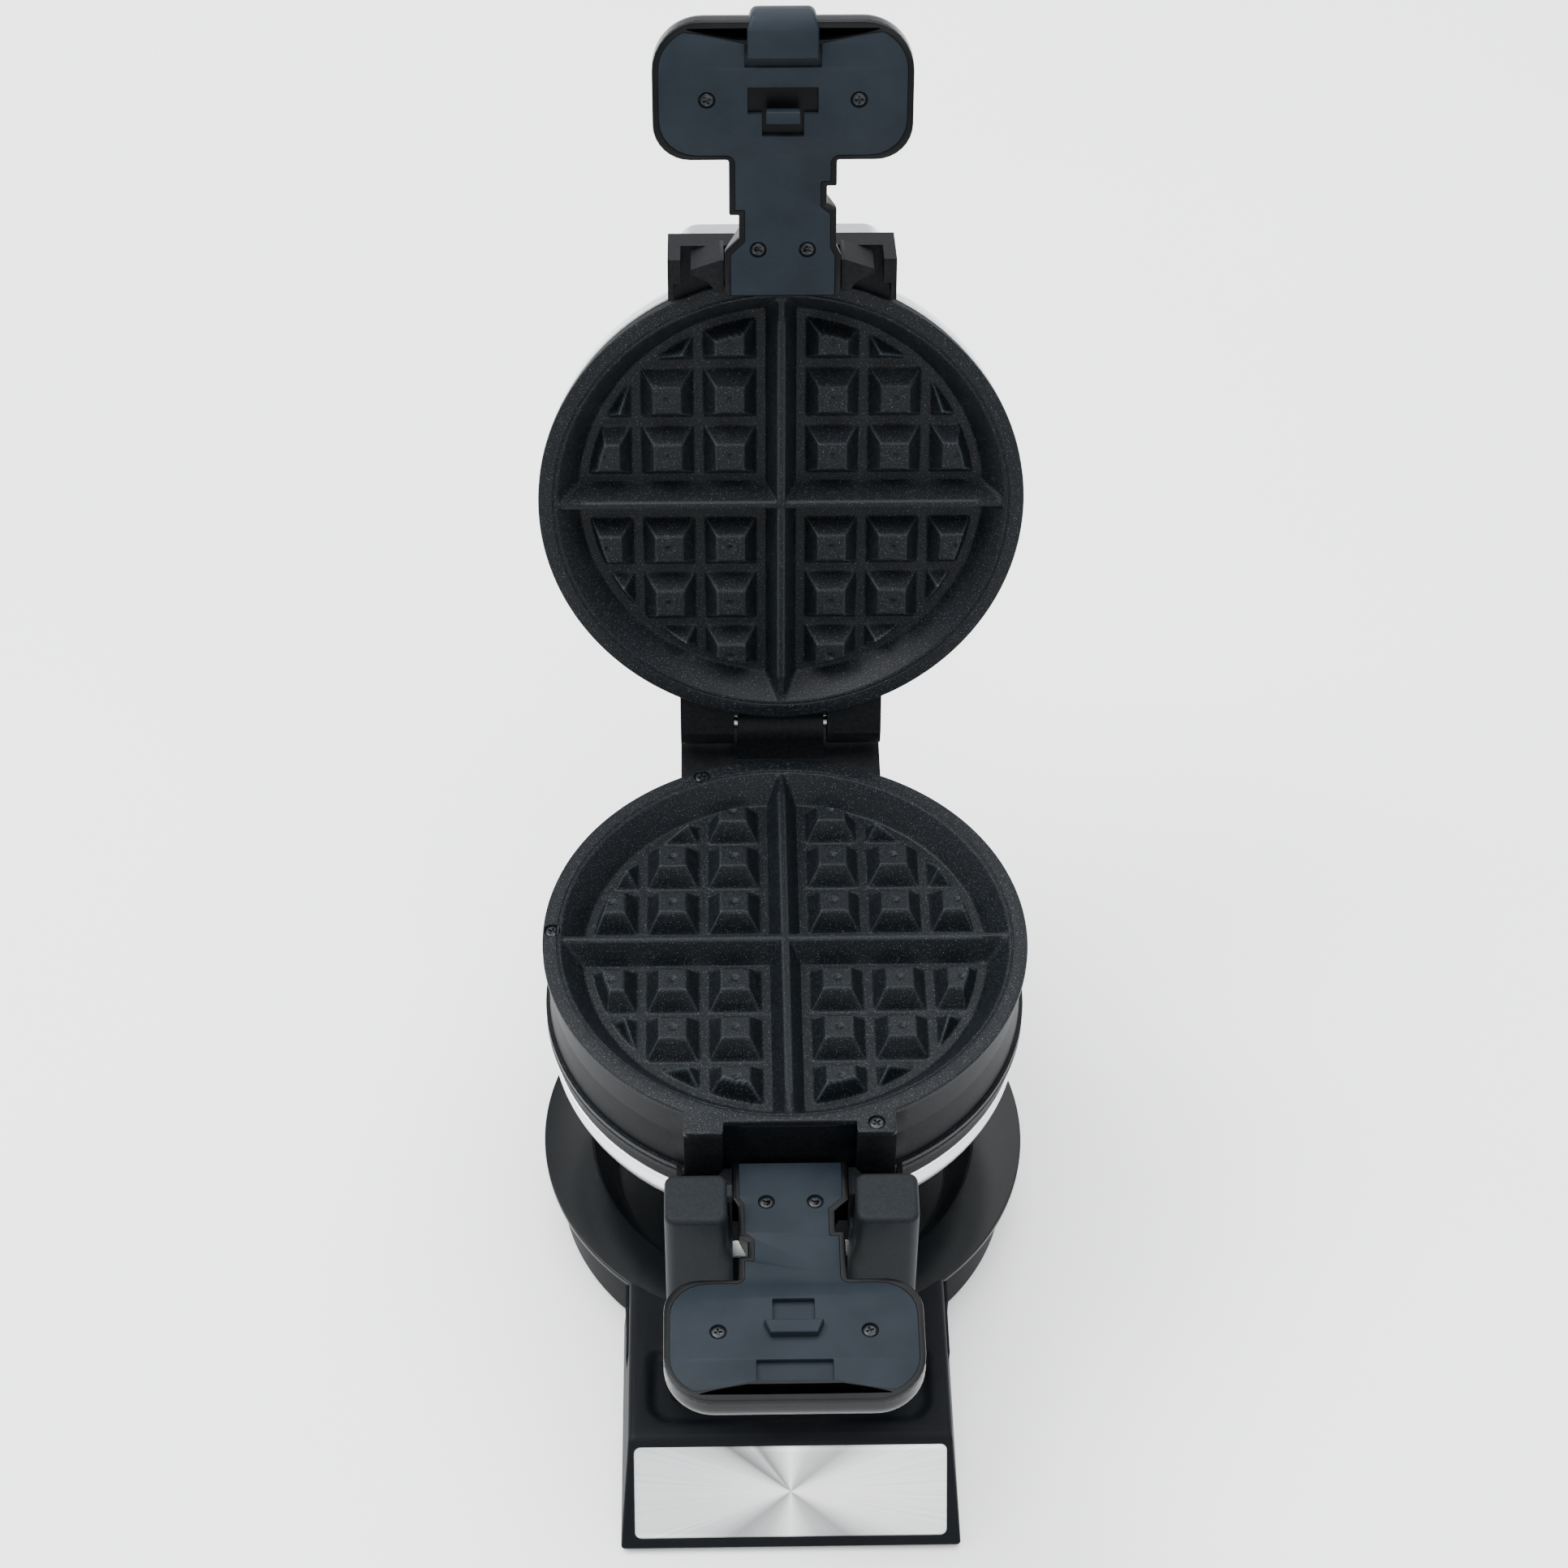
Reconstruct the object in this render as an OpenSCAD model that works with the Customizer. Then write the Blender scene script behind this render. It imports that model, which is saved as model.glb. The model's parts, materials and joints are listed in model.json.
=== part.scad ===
// Rotating double waffle maker: a two-sided middle section carries an upper and a
// lower lid on rear hinges, and the whole stack turns about a front-to-back shaft.
// X is across, +Y is the rear, +Z is up, and the table is z = 0.

/* [Stack] */
// Outer radius of the cooking plates
plate_r = 98; // [90:1:110]
// Height of the turning axis above the table
axis_h = 146; // [140:1:170]
// Half thickness of the middle section
half_h = 19.5; // [18:0.5:24]
// Depth of one lid from its cooking rim to its flat top
lid_depth = 40; // [38:1:48]
// Corner radius of the steel lid cover
cover_round = 26; // [18:1:27]
// Angle of the open upper lid from closed
open_deg = 106; // [95:1:107]

/* [Waffle grid] */
// Depth of the basin
basin_depth = 11; // [10:0.5:12]
// Distance from one pocket peak to the next
cell_pitch = 25; // [22:0.5:27]
// Width of one peak at the basin floor
cell_base = 21; // [16:0.5:21]
// Width of one peak at its flat top
cell_top = 11; // [7:0.5:13]
// Height of one peak
cell_rise = 9; // [6:0.5:9.5]

/* [Handles] */
// Distance from the plate centre to the front of the handle head
handle_reach = 207.5; // [200:0.5:225]
// Width of the handle head
head_w = 97.6; // [80:0.2:110]
// Length of the handle head along Y
head_len = 53.5; // [50:0.5:60]
// Outer radius of the closed round neck
neck_r = 20.4; // [18.5:0.1:21]
// Inward travel of the latch button
latch_travel = 3; // [2:0.1:3]

/* [Base] */
// Radius of the drip tray flange
tray_r = 102.5; // [99:0.5:106]
// Height of the drip tray flange above the table
tray_top = 37; // [35:1:39]
// Width of the base block at the front
base_w = 136.8; // [120:1:150]
// Distance from the plate centre to the foot of the front panel
base_front = 183; // [176:1:190]
// Height of the front block
block_h = 40; // [38:1:44]
// Height of the yoke posts above the turning axis
post_rise = 14.5; // [8:0.5:20]
// Width of one yoke post across X
post_w = 24; // [18:0.5:28]
// Depth of one yoke post along Y
post_d = 23; // [18:0.5:24]

/* [Hidden] */
$fn = 96;
gap = 0.3;              // clearance between bodies that meet
fit = 0.05;             // radial running fit of shafts and pins
wall = 2.5;             // plastic wall
sheet = 1;              // sheet metal
eps = 0.02;             // cutter overrun
head_h = 1.4;           // thickness of a screw head
sink = 0.3;             // a sunk screw head below its surface
dish = 2;               // depth of the dish in the front block

flange_t = 2.5;         // plate flange thickness
floor_t = 2.2;          // plate floor thickness
rim_in = plate_r - 7.5; // inner edge of the plate rim
floor_r = rim_in - 8.5; // basin floor radius
grid_r = floor_r - 4;   // radius that clips the peaks
cell_first = 20.5 + (cell_pitch - 25) / 2; // first peak centre from the divider
div_base = 6;           // half width of a divider at the floor
div_top = 1.2;          // half width of a divider at its ridge
plate_back = basin_depth + floor_t;        // depth of the plate's flat back
peak_run = (cell_base - cell_top) / 2 / cell_rise; // set-back of a peak's side per height

hinge_y = plate_r + 9.7;    // hinge axis behind the plate centre
hinge_z = half_h + 13.2;    // hinge axis above the mid plane
knuckle_r = 9;
knuckle_w = 36;             // middle knuckle width
ear_in = knuckle_w / 2 + 1.5;
ear_out = 42;
pin_r = 2.6;
ring_r = plate_r - 1.5;     // outer radius of the plastic rings
ring_in = plate_r - 4.7;    // inner radius of the plastic rings
lid_z = half_h + gap;       // cooking rim plane of a closed lid
ring_top = lid_z + 9.4;     // top of the lid's plastic ring
lid_top = half_h + lid_depth;

block_in = 26;              // inner face of the front lugs of the middle
block_out = 41;
block_front = plate_r + 2;
recess_y = plate_r - 3.7;   // cut-back of the rim behind the neck
house_front = plate_r + 13; // front of a lid's front housing
rear_y = plate_r + 28;      // rear face of the middle's rear block
neck_back = plate_r + 1.5;
root_w = neck_r + 1.6;      // half width of the handle plate at its root
root_r = root_w + 0.25;     // radius that the root and its saddle share
root_y = plate_r + 17.5;    // front end of the root
house_w = 44.2;             // half width of a lid's front housing
head_back = handle_reach - head_len;
head_round = 19;
head_depth = 19;
rim_w = 2.2;                // dark rim of the shell around the handle plate
tplate_t = 2.5;
notch_near = [plate_r + 20, plate_r + 33.5];
notch_far = [plate_r + 32.3, plate_r + 45.5];
notch_x = 15.5;
neck_screw = [9.4, plate_r + 20];
head_screw = [28.4, head_back + 23.4];

// latch, measured from the mid plane and from the handle front
latch_w = 13.4;
nib_y = [handle_reach - 14, handle_reach - 8.5];
nib_drop = 2.4;
hook_w = 6.4;
hook_y = handle_reach - 34;    // front face of the hook's stem
hook_t = 3.2;
lip = 1.7;                     // engagement of the hook under the catch
hook_z = tplate_t + 0.6;       // top of the lip below the mid plane
lug_y = [handle_reach - 33.6, handle_reach - 27.5];
lug_w = 11.2;
lug_h = 3;

shaft_r = 12;
shaft_bore = 6;
collar_r = 15.4;
col_front = rear_y + 5;     // front of the rear column
col_back = col_front + 34;
col_w = 30;                 // half width of the rear column
col_top = 24;               // top of the column above the axis

post_in = root_r + 2.25;    // inner face of a yoke post
post_back = house_front + 4;
tab_z = [9, 13];
tab_x = root_w + 0.4;       // inner end of a guide tab, clear of the swinging root
tab_y = [plate_r + 21, plate_r + 27];
flare_in = root_w + 0.5;    // inner face of a post's flared foot
foot_h = 4;
foot_r = 9;
foot_pos = [[-52, -140], [52, -140], [-28, 148], [28, 148], [-84, 0], [84, 0]];
skirt_z = 2;
base_r = tray_r - 6.5;
face_rise = block_h - 3;            // height of the sloping front
face_run = face_rise * 0.74;        // its set-back
face_len = sqrt(pow(face_rise, 2) + pow(face_run, 2));
face_tilt = atan2(face_run, face_rise);
bezel_x = 5.4;          // frame beside the front panel
bezel_y = 3.4;          // frame above and below it
well_r = tray_r - 20;               // tray well

// ---------- frames ----------
// The plate centre stands frame_y behind the centre of the footprint.
frame_y = 10.85;
module placed() { translate([0, frame_y, 0]) children(); }
// Children are drawn with z measured up from the turning axis.
module on_axis() { translate([0, 0, axis_h]) children(); }
// The same, turned upside down about the axis.
module on_axis_flipped() { on_axis() rotate([0, 180, 0]) children(); }
// A lid drawn closed is swung up to its open stop.
module opened() {
    translate([0, hinge_y, hinge_z + axis_h]) rotate([-open_deg, 0, 0])
        translate([0, -hinge_y, -hinge_z]) children();
}

// ---------- shared shapes ----------
module both_sides() { children(); mirror([1, 0, 0]) children(); }
module along_y(y0, y1, r, z = 0, x = 0) {
    translate([x, y1, z]) rotate([90, 0, 0]) cylinder(r = r, h = y1 - y0);
}
module along_x(x0, x1, r, y, z) {
    translate([x0, y, z]) rotate([0, 90, 0]) cylinder(r = r, h = x1 - x0);
}
module block(x, y, z) {
    translate([x[0], y[0], z[0]]) cube([x[1] - x[0], y[1] - y[0], z[1] - z[0]]);
}
// Rounded rectangle between two corners.
module round_rect(x, y, r) {
    translate([x[0] + r, y[0]]) square([x[1] - x[0] - 2 * r, y[1] - y[0]]);
    translate([x[0], y[0] + r]) square([x[1] - x[0], y[1] - y[0] - 2 * r]);
    for (i = x, j = y)
        translate([i == x[0] ? i + r : i - r, j == y[0] ? j + r : j - r]) circle(r);
}
// Pan-head screw with its head up, top of the head at z = 0.
module screw(head_r, shank_r, len) {
    difference() {
        translate([0, 0, -head_h]) cylinder(r = head_r, h = head_h);
        cube([0.8, head_r * 1.2, head_h * 1.3], center = true);
        cube([head_r * 1.2, 0.8, head_h * 1.3], center = true);
    }
    translate([0, 0, -len]) cylinder(r = shank_r, h = len - head_h);
}

// ---------- cooking plate, facing up, rim plane at z = 0 ----------
module peak_row(length) {
    // One comb of trapezoids, extruded across the plate.
    rotate([90, 0, 0]) linear_extrude(length, center = true)
        for (k = [-3:3]) if (k != 0) {
            c = sign(k) * (cell_first + (abs(k) - 1) * cell_pitch);
            polygon([[c - cell_base / 2, -basin_depth - eps],
                     [c + cell_base / 2, -basin_depth - eps],
                     [c + cell_top / 2, cell_rise - basin_depth],
                     [c - cell_top / 2, cell_rise - basin_depth]]);
        }
}
module divider() {
    rotate([90, 0, 0]) linear_extrude(2 * rim_in, center = true)
        polygon([[-div_base, -basin_depth - eps], [div_base, -basin_depth - eps],
                 [div_top, -gap], [-div_top, -gap]]);
}
module plate_blank() {
    rotate_extrude() polygon([
        [0, -plate_back], [floor_r + 2, -plate_back], [rim_in + 2.3, -flange_t],
        [plate_r, -flange_t], [plate_r, 0], [rim_in, 0],
        [floor_r, -basin_depth], [0, -basin_depth]]);
}
module grid_peaks() {
    intersection() {
        peak_row(2 * plate_r);
        rotate([0, 0, 90]) peak_row(2 * plate_r);
        translate([0, 0, -basin_depth - 1])
            cylinder(r1 = grid_r + peak_run, r2 = grid_r - basin_depth * peak_run, h = basin_depth + 1);
    }
}
module grid_dividers() {
    intersection() {
        union() { divider(); rotate([0, 0, 90]) divider(); }
        rotate_extrude() polygon([[0, -basin_depth - 1], [floor_r, -basin_depth - 1],
            [rim_in + 0.5, -gap], [0, -gap]]);
    }
}
element_r = 70;
element_tube = 2.6;
module element_groove_ring() {
    translate([0, 0, -plate_back - 2.6]) difference() {
        cylinder(r = element_r + 6, h = 2.6 + eps);
        translate([0, 0, -1]) cylinder(r = element_r - 6, h = 5);
    }
}
module element_ring(r = element_tube) {
    translate([0, 0, -plate_back - 2.8]) rotate_extrude()
        translate([element_r, 0]) circle(r);
}
module cook_plate() {
    difference() {
        union() { plate_blank(); grid_peaks(); grid_dividers(); element_groove_ring(); }
        element_ring(element_tube + fit);
    }
}
// Screw places on the visible rim of a middle plate.
rim_screws = [[-33.3, plate_r - 9.2], [3.8 - plate_r, 3.9], [33.5, 2.9 - plate_r]];
module rim_holes(r, z0, z1) {
    for (p = rim_screws) translate([p[0], p[1], z0]) cylinder(r = r, h = z1 - z0);
}

// ---------- middle section ----------
// Upper half of the middle, z measured from the axis; the lower half is the same.
module middle_half_shell() {
    top = half_h - flange_t;
    difference() {
        union() {
            rotate_extrude() polygon([[ring_in, 0], [ring_r - 1, 0], [ring_r, top], [ring_in, top]]);
            both_sides() block([block_in, block_out], [-block_front, -ring_in + 14], [0, top]);
            block([-ear_out, ear_out], [plate_r - 12, rear_y], [0, half_h - 0.5]);
            block([-knuckle_w / 2, knuckle_w / 2], [hinge_y - 8.5, hinge_y + 7], [0, hinge_z]);
            along_x(-knuckle_w / 2, knuckle_w / 2, knuckle_r, hinge_y, hinge_z);
        }
        // inside of the ring, with the plate above it
        translate([0, 0, -1]) cylinder(r = ring_in, h = half_h + 2);
        translate([0, 0, top]) cylinder(r = plate_r + gap, h = flange_t + 1);
        // recess for the neck
        block([-block_in, block_in], [-plate_r - 5, -recess_y - 0.6], [-1, half_h]);
        // hollow rear block, shaft seat and hinge pin
        block([-ear_out + wall, ear_out - wall], [plate_r + 2, rear_y - wall], [-1, half_h - 3.5]);
        along_y(plate_r, rear_y + 1, shaft_r);
        along_x(-knuckle_w, knuckle_w, pin_r, hinge_y, hinge_z);
        rim_holes(1.6, half_h - 16, half_h);
    }
    // screw posts for the plate
    intersection() {
        difference() { rim_holes(3.4, 0, top); rim_holes(1.6, -1, half_h); }
        difference() {
            cylinder(r = ring_in + eps, h = half_h);
            cylinder(r1 = floor_r + 3.5, r2 = rim_in + 3, h = half_h);
        }
    }
}
module middle_plate() {
    difference() {
        union() {
            translate([0, 0, half_h]) cook_plate();
            // rim carried out over the front lugs
            both_sides() block([block_in, block_out], [-block_front, -recess_y + 6],
                [half_h - flange_t, half_h]);
        }
        block([-block_in, block_in], [-plate_r - 5, -recess_y], [half_h - flange_t - 1, half_h + 1]);
        rim_holes(1.6, half_h - flange_t - 1, half_h + 1);
        rim_holes(3.3, half_h - sink - head_h, half_h + 1);
    }
}
module middle_shell_upper() { color("#14161a") on_axis() middle_half_shell(); }
module middle_shell_lower() { color("#14161a") on_axis_flipped() middle_half_shell(); }
module middle_plate_upper() { color("#23272c") on_axis() middle_plate(); }
module middle_plate_lower() { color("#23272c") on_axis_flipped() middle_plate(); }
module middle_elements() {
    color("#6f6a62") { on_axis() translate([0, 0, half_h]) element_ring();
        on_axis_flipped() translate([0, 0, half_h]) element_ring(); }
}
module rim_screw_set() {
    for (p = rim_screws) translate([p[0], p[1], half_h - sink]) screw(3.1, 1.55, 13);
}
module middle_plate_screws() {
    color("#1c1d1f") { on_axis() rim_screw_set(); on_axis_flipped() rim_screw_set(); }
}
module thermal_fuse() {
    color("#c8c2b4") on_axis() translate([-14, 0, 0]) rotate([0, 90, 0]) cylinder(r = 3, h = 28);
}
module hinge_pin() {
    along_x(-ear_out + 0.5, ear_out - 0.5, pin_r, hinge_y, hinge_z);
}
module hinge_pin_upper() { color("#b9bcc0") on_axis() hinge_pin(); }
module hinge_pin_lower() { color("#b9bcc0") on_axis_flipped() hinge_pin(); }

// ---------- turning shaft and rear column ----------
module rotor_shaft() {
    color("#a9adb2") on_axis() difference() {
        union() {
            along_y(plate_r + 6, col_back - wall - 1, shaft_r);
            along_y(rear_y - wall - 3, rear_y - wall, collar_r);
        }
        along_y(plate_r, col_back, shaft_bore);
        // groove for the retaining ring
        difference() {
            along_y(col_back - 9, col_back - 7, shaft_r + 1);
            along_y(col_back - 10, col_back - 6, shaft_r - 1.2);
        }
    }
}
module shaft_ring() {
    color("#5b5f64") on_axis() difference() {
        along_y(col_back - 9, col_back - 7, shaft_r + 5);
        along_y(col_back - 10, col_back - 6, shaft_r - 1.2);
        block([-shaft_r + 3, shaft_r - 3], [col_back - 10, col_back - 6], [-shaft_r - 8, -shaft_r + 5]);
    }
}
bush_r = shaft_r + 3.5;
module column_bush() {
    color("#d9d4c4") on_axis() difference() {
        union() {
            along_y(col_front - 1.5, col_back - 9.5, bush_r);
            along_y(col_front - 3, col_front, bush_r + 3);
        }
        along_y(col_front - 4, col_back, shaft_r + fit);
    }
}
// Seen along Y: straight sides with a round head about the axis.
module column_outline(inset) {
    translate([-col_w + inset, block_h]) square([2 * (col_w - inset), axis_h - block_h]);
    intersection() {
        translate([0, axis_h]) circle(col_w - inset);
        translate([-col_w, axis_h]) square([2 * col_w, col_top - inset]);
    }
}
module column_solid(y0, y1, inset) {
    translate([0, y1, 0]) rotate([90, 0, 0]) linear_extrude(y1 - y0) column_outline(inset);
}
module rear_column() {
    color("#101216") difference() {
        column_solid(col_front, col_back - wall, 0);
        column_solid(col_front + wall, col_back, wall + 0.5);
        on_axis() along_y(col_front - 1, col_back, bush_r);
    }
    // web that holds the bush
    color("#101216") on_axis() difference() {
        along_y(col_front + wall, col_back - 12, bush_r + 3);
        along_y(col_front, col_back, bush_r);
    }
}
module column_cover() {
    color("#101216") column_solid(col_back - wall, col_back, 0);
}
module cord_gland() {
    color("#17181a") difference() {
        union() {
            along_y(col_back - 3, col_back + 12, 6, 22, -20);
            along_y(col_back + 1, col_back + 3, 9, 22, -20);
        }
        along_y(col_back - 4, col_back + 13, 3.2, 22, -20);
    }
}

// ---------- base ----------
module base_plan(inset) {
    circle(base_r - inset);
    round_rect([-base_w / 2 + inset, base_w / 2 - inset], [-base_front - 20, -30], 6);
    round_rect([-col_w - 12 + inset, col_w + 12 - inset], [40, col_back + 1 - inset], 12 - inset);
}
module base_solid(inset, z0) {
    difference() {
        translate([0, 0, z0]) linear_extrude(block_h - z0 - inset - (inset > 0 ? dish : 0)) base_plan(inset);
        // sloping front face
        translate([0, -base_front + inset / cos(face_tilt), skirt_z + 1]) rotate([90 - face_tilt, 0, 0])
            translate([-base_w, -60, 0]) cube([2 * base_w, 200, 200]);
        // the round deck lies lower than the front block
        difference() {
            translate([0, 0, tray_top - 3 - inset]) cylinder(r = tray_r + gap, h = 20);
            translate([-base_w, -base_front - 1, 0])
                cube([2 * base_w, base_front + 1 - house_front - 0.2, 100]);
            translate([-base_w, plate_r + 6, 0]) cube([2 * base_w, 100, 100]);
        }
    }
}
module face_frame() {
    // x across, y up the slope, z out of the sloping face
    translate([0, -base_front, skirt_z + 1]) rotate([90 - face_tilt, 0, 0]) children();
}
module base_shell() {
    color("#12161c") difference() {
        base_solid(0, skirt_z);
        difference() {
            base_solid(wall, -1);
            // stiff surround behind the front panel
            face_frame() translate([-base_w, -20, -5.4]) cube([2 * base_w, 100, 10]);
        }
        // well opening for the tray
        translate([0, 0, 1]) cylinder(r = well_r + 3, h = 60);
        // soft dish in the front block
        translate([0, 0, block_h - dish]) linear_extrude(4)
            round_rect([-58, 58], [-base_front + face_run + 6, -post_back + 0.5], 10);
        // seat of the front panel
        face_frame() translate([0, 0, -2.2]) linear_extrude(5)
            round_rect([-base_w / 2 + bezel_x, base_w / 2 - bezel_x], [bezel_y, face_len - bezel_y], 3);
        for (s = [-1, 1]) translate([s * (post_in + post_w / 2), -post_back - post_d / 2, 10])
            cylinder(r = 2, h = 60);
        along_y(col_back - 6, col_back + 5, 6, 22, -20);
    }
}
module front_panel() {
    color("#c9cbcd") face_frame() translate([0, 0, -2]) linear_extrude(1.4)
        round_rect([-base_w / 2 + bezel_x + 0.2, base_w / 2 - bezel_x - 0.2],
            [bezel_y + 0.2, face_len - bezel_y - 0.2], 2.8);
}
module base_bottom_plate() {
    color("#101114") difference() {
        translate([0, 0, foot_h - 0.5]) linear_extrude(2) difference() {
            base_plan(wall + 0.4);
            translate([-base_w, -base_front - 40]) square([2 * base_w, 40 + 9]);
        }
        for (p = foot_pos) translate([p[0], p[1], -1]) cylinder(r = 3, h = 20);
    }
}
module base_feet() {
    color("#2a2a2c") for (p = foot_pos) translate([p[0], p[1], 0]) {
        cylinder(r = foot_r, h = foot_h - 0.5);
        cylinder(r = 3, h = foot_h + 1.5);
        translate([0, 0, foot_h + 1.5]) cylinder(r = 4.2, h = 1.5);
    }
}
// Right-hand post; its inner side flares in below the neck.
module yoke_post() {
    top = axis_h + post_rise;
    foot = block_h - dish;
    difference() {
        union() {
            translate([0, 0, foot]) linear_extrude(top - foot)
                round_rect([post_in, post_in + post_w], [-post_back - post_d, -post_back], 4);
            translate([0, -post_back - 4, axis_h]) rotate([90, 0, 0]) linear_extrude(post_d - 8)
                polygon([[post_in + 4, -5], [post_in, -5], [flare_in, -16],
                    [flare_in, foot - axis_h], [post_in + 4, foot - axis_h]]);
        }
        translate([0, 0, block_h + 6]) linear_extrude(top - block_h - 6 - wall)
            round_rect([post_in + wall, post_in + post_w - wall],
                [-post_back - post_d + wall, -post_back - wall], 1.6);
        translate([post_in + post_w / 2, -post_back - post_d / 2, block_h - 3]) cylinder(r = 1.8, h = 12);
    }
}
module front_yoke() {
    color("#12151a") {
        both_sides() yoke_post();
        // guide tabs, one above and one below the axis
        block([-post_in - 1, -tab_x], [-tab_y[1], -tab_y[0]], [axis_h + tab_z[0], axis_h + tab_z[1]]);
        block([tab_x, post_in + 1], [-tab_y[1], -tab_y[0]], [axis_h - tab_z[1], axis_h - tab_z[0]]);
    }
}
module base_screws() {
    color("#8d9094") for (s = [-1, 1])
        translate([s * (post_in + post_w / 2), -post_back - post_d / 2, block_h - dish - wall - head_h])
            mirror([0, 0, 1]) screw(3.6, 1.8, 16);
}
module drip_tray() {
    t = 1.6;
    color("#1b2126") difference() {
        rotate_extrude() polygon([
            [0, 14], [well_r - 10, 14], [well_r, tray_top - t - 0.9], [tray_r, tray_top - t - 0.9],
            [tray_r, tray_top], [well_r - 1.5, tray_top], [well_r - 11.5, 14 + t], [0, 14 + t]]);
        // straight edges clear of the front block and the rear column
        translate([-base_w, -tray_r - 50, 0]) cube([2 * base_w, 50 + tray_r - house_front + 12, 100]);
    }
}

// ---------- lid, drawn closed above the middle ----------
module lid_plate() { translate([0, 0, lid_z]) mirror([0, 0, 1]) cook_plate(); }
module lid_plate_cut() {
    difference() {
        lid_plate();
        block([-block_in, block_in], [-plate_r - 5, -recess_y], [lid_z - 1, lid_z + flange_t + 1]);
    }
}
module lid_ring() {
    z0 = lid_z + flange_t;
    difference() {
        union() {
            rotate_extrude() polygon([[ring_in, z0], [ring_r, z0], [ring_r, ring_top], [ring_in, ring_top]]);
            block([-house_w, house_w], [-house_front, -recess_y + 6], [z0, ring_top + 6]);
            // saddle over the root of the handle
            block([4 - root_w, root_w - 4], [-house_front, -neck_back], [neck_r - 5, z0 + 1]);
            // hooked cheeks beside the front lugs, and gussets beside the root
            both_sides() {
                block([house_w - 5, house_w], [-house_front, -block_front - 1], [8, z0 + 1]);
                block([block_out + 1, house_w], [-block_front - 2, -plate_r + 4], [8, z0 + 1]);
                translate([0, 0, 3]) linear_extrude(z0 - 2) polygon([
                    [root_r + gap, -neck_back - gap], [root_r + gap, -house_front - 1.8],
                    [root_r + 1.8, -house_front - 1.8], [root_r + 13, 2 - house_front],
                    [root_r + 13, 4 - house_front], [root_r + 6.5, -block_front - 4],
                    [root_r + 3.2, -neck_back - gap]]);
            }
            // rear carrier with the two hinge ears
            both_sides() block([ear_in, ear_out], [plate_r - 14, hinge_y], [z0, hinge_z + knuckle_r - 1]);
            both_sides() along_x(ear_in, ear_out, knuckle_r, hinge_y, hinge_z);
            block([-ear_out, ear_out], [plate_r - 14, plate_r - 1.4],
                [ring_top - 1, hinge_z + knuckle_r - 1]);
        }
        translate([0, 0, z0 - 1]) cylinder(r = ring_in, h = 40);
        along_y(-house_front - 1, -recess_y, root_r);
        block([-ear_out + wall, ear_out - wall], [-house_front + wall, -80], [z0 + wall, ring_top + 20]);
        along_x(-ear_out - 1, ear_out + 1, pin_r + fit, hinge_y, hinge_z);
        // room for the middle knuckle to turn
        along_x(-ear_in, ear_in, knuckle_r + 1.5, hinge_y, hinge_z);
        for (s = [-1, 1]) translate([s * 33, plate_r - 5, hinge_z + knuckle_r - 9]) cylinder(r = 1.6, h = 20);
        for (s = [-1, 1]) translate([s * 12, -house_front + 6, z0 - 1]) cylinder(r = 1.7, h = 20);
    }
}
module cover_section(inset) {
    // Half section of the domed cover, radius across and height up.
    r = ring_r + 0.4 - inset;
    round = cover_round - inset;
    top = lid_top - inset;
    translate([0, ring_top + gap]) square([r, top - round - ring_top - gap]);
    translate([0, top - round - 1]) square([r - round, round + 1]);
    intersection() {
        translate([r - round, top - round]) circle(round);
        translate([0, top - round]) square([r, round]);
    }
}
module cover_solid(inset) {
    rotate_extrude() cover_section(inset);
    translate([0, 0, ring_top + gap]) linear_extrude(lid_top - ring_top - gap - 8 - inset)
        round_rect([-ear_out + 1 + inset, ear_out - 1 - inset], [-house_front + 1 + inset, 0], 9 - inset);
}
module lid_cover() {
    difference() {
        cover_solid(0);
        cover_solid(sheet);
        // open underside
        translate([0, 0, ring_top + gap - 1]) cylinder(r = ring_r - sheet + 0.4, h = 1.5);
        translate([0, 0, ring_top + gap - 1]) linear_extrude(1.5)
            round_rect([-ear_out + 1 + sheet, ear_out - 1 - sheet], [-house_front + 1 + sheet, 0], 8);
        // clear of the front housing's walls and the rear hinge carrier
        block([-ear_out - gap, ear_out + gap], [-house_front - 1, -80], [0, ring_top + 6 + gap]);
        block([-ear_out - gap, ear_out + gap], [plate_r - 14 - gap, plate_r + 30],
            [0, hinge_z + knuckle_r + 1 + gap]);
        for (s = [-1, 1]) translate([s * 12, -house_front + 12, lid_top - 12]) cylinder(r = 2.6, h = 20);
    }
}
module lid_element() { translate([0, 0, lid_z]) mirror([0, 0, 1]) element_ring(); }
module lid_reflector() {
    z = lid_z + plate_back + 6.4;
    difference() {
        rotate_extrude() polygon([[10, z], [floor_r + 1, z], [ring_in - 4, z - 6], [ring_in - 4, z - 7],
            [floor_r + 2, z - 1], [10, z - 1]]);
        block([-ear_out, ear_out], [plate_r - 16, plate_r + 5], [z - 9, z + 3]);
    }
}
module lid_thermostat() {
    translate([0, 0, lid_z + plate_back]) {
        cylinder(r = 8, h = 4);
        translate([0, 0, 4]) cylinder(r = 6.5, h = 6);
    }
}
module lid_lights() {
    for (s = [-1, 1]) translate([s * 12, -house_front + 12, lid_top - 14]) {
        cylinder(r = 2.5, h = 7);
        translate([0, 0, 2]) cylinder(r = 3.6, h = 2.6);
    }
}
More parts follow.
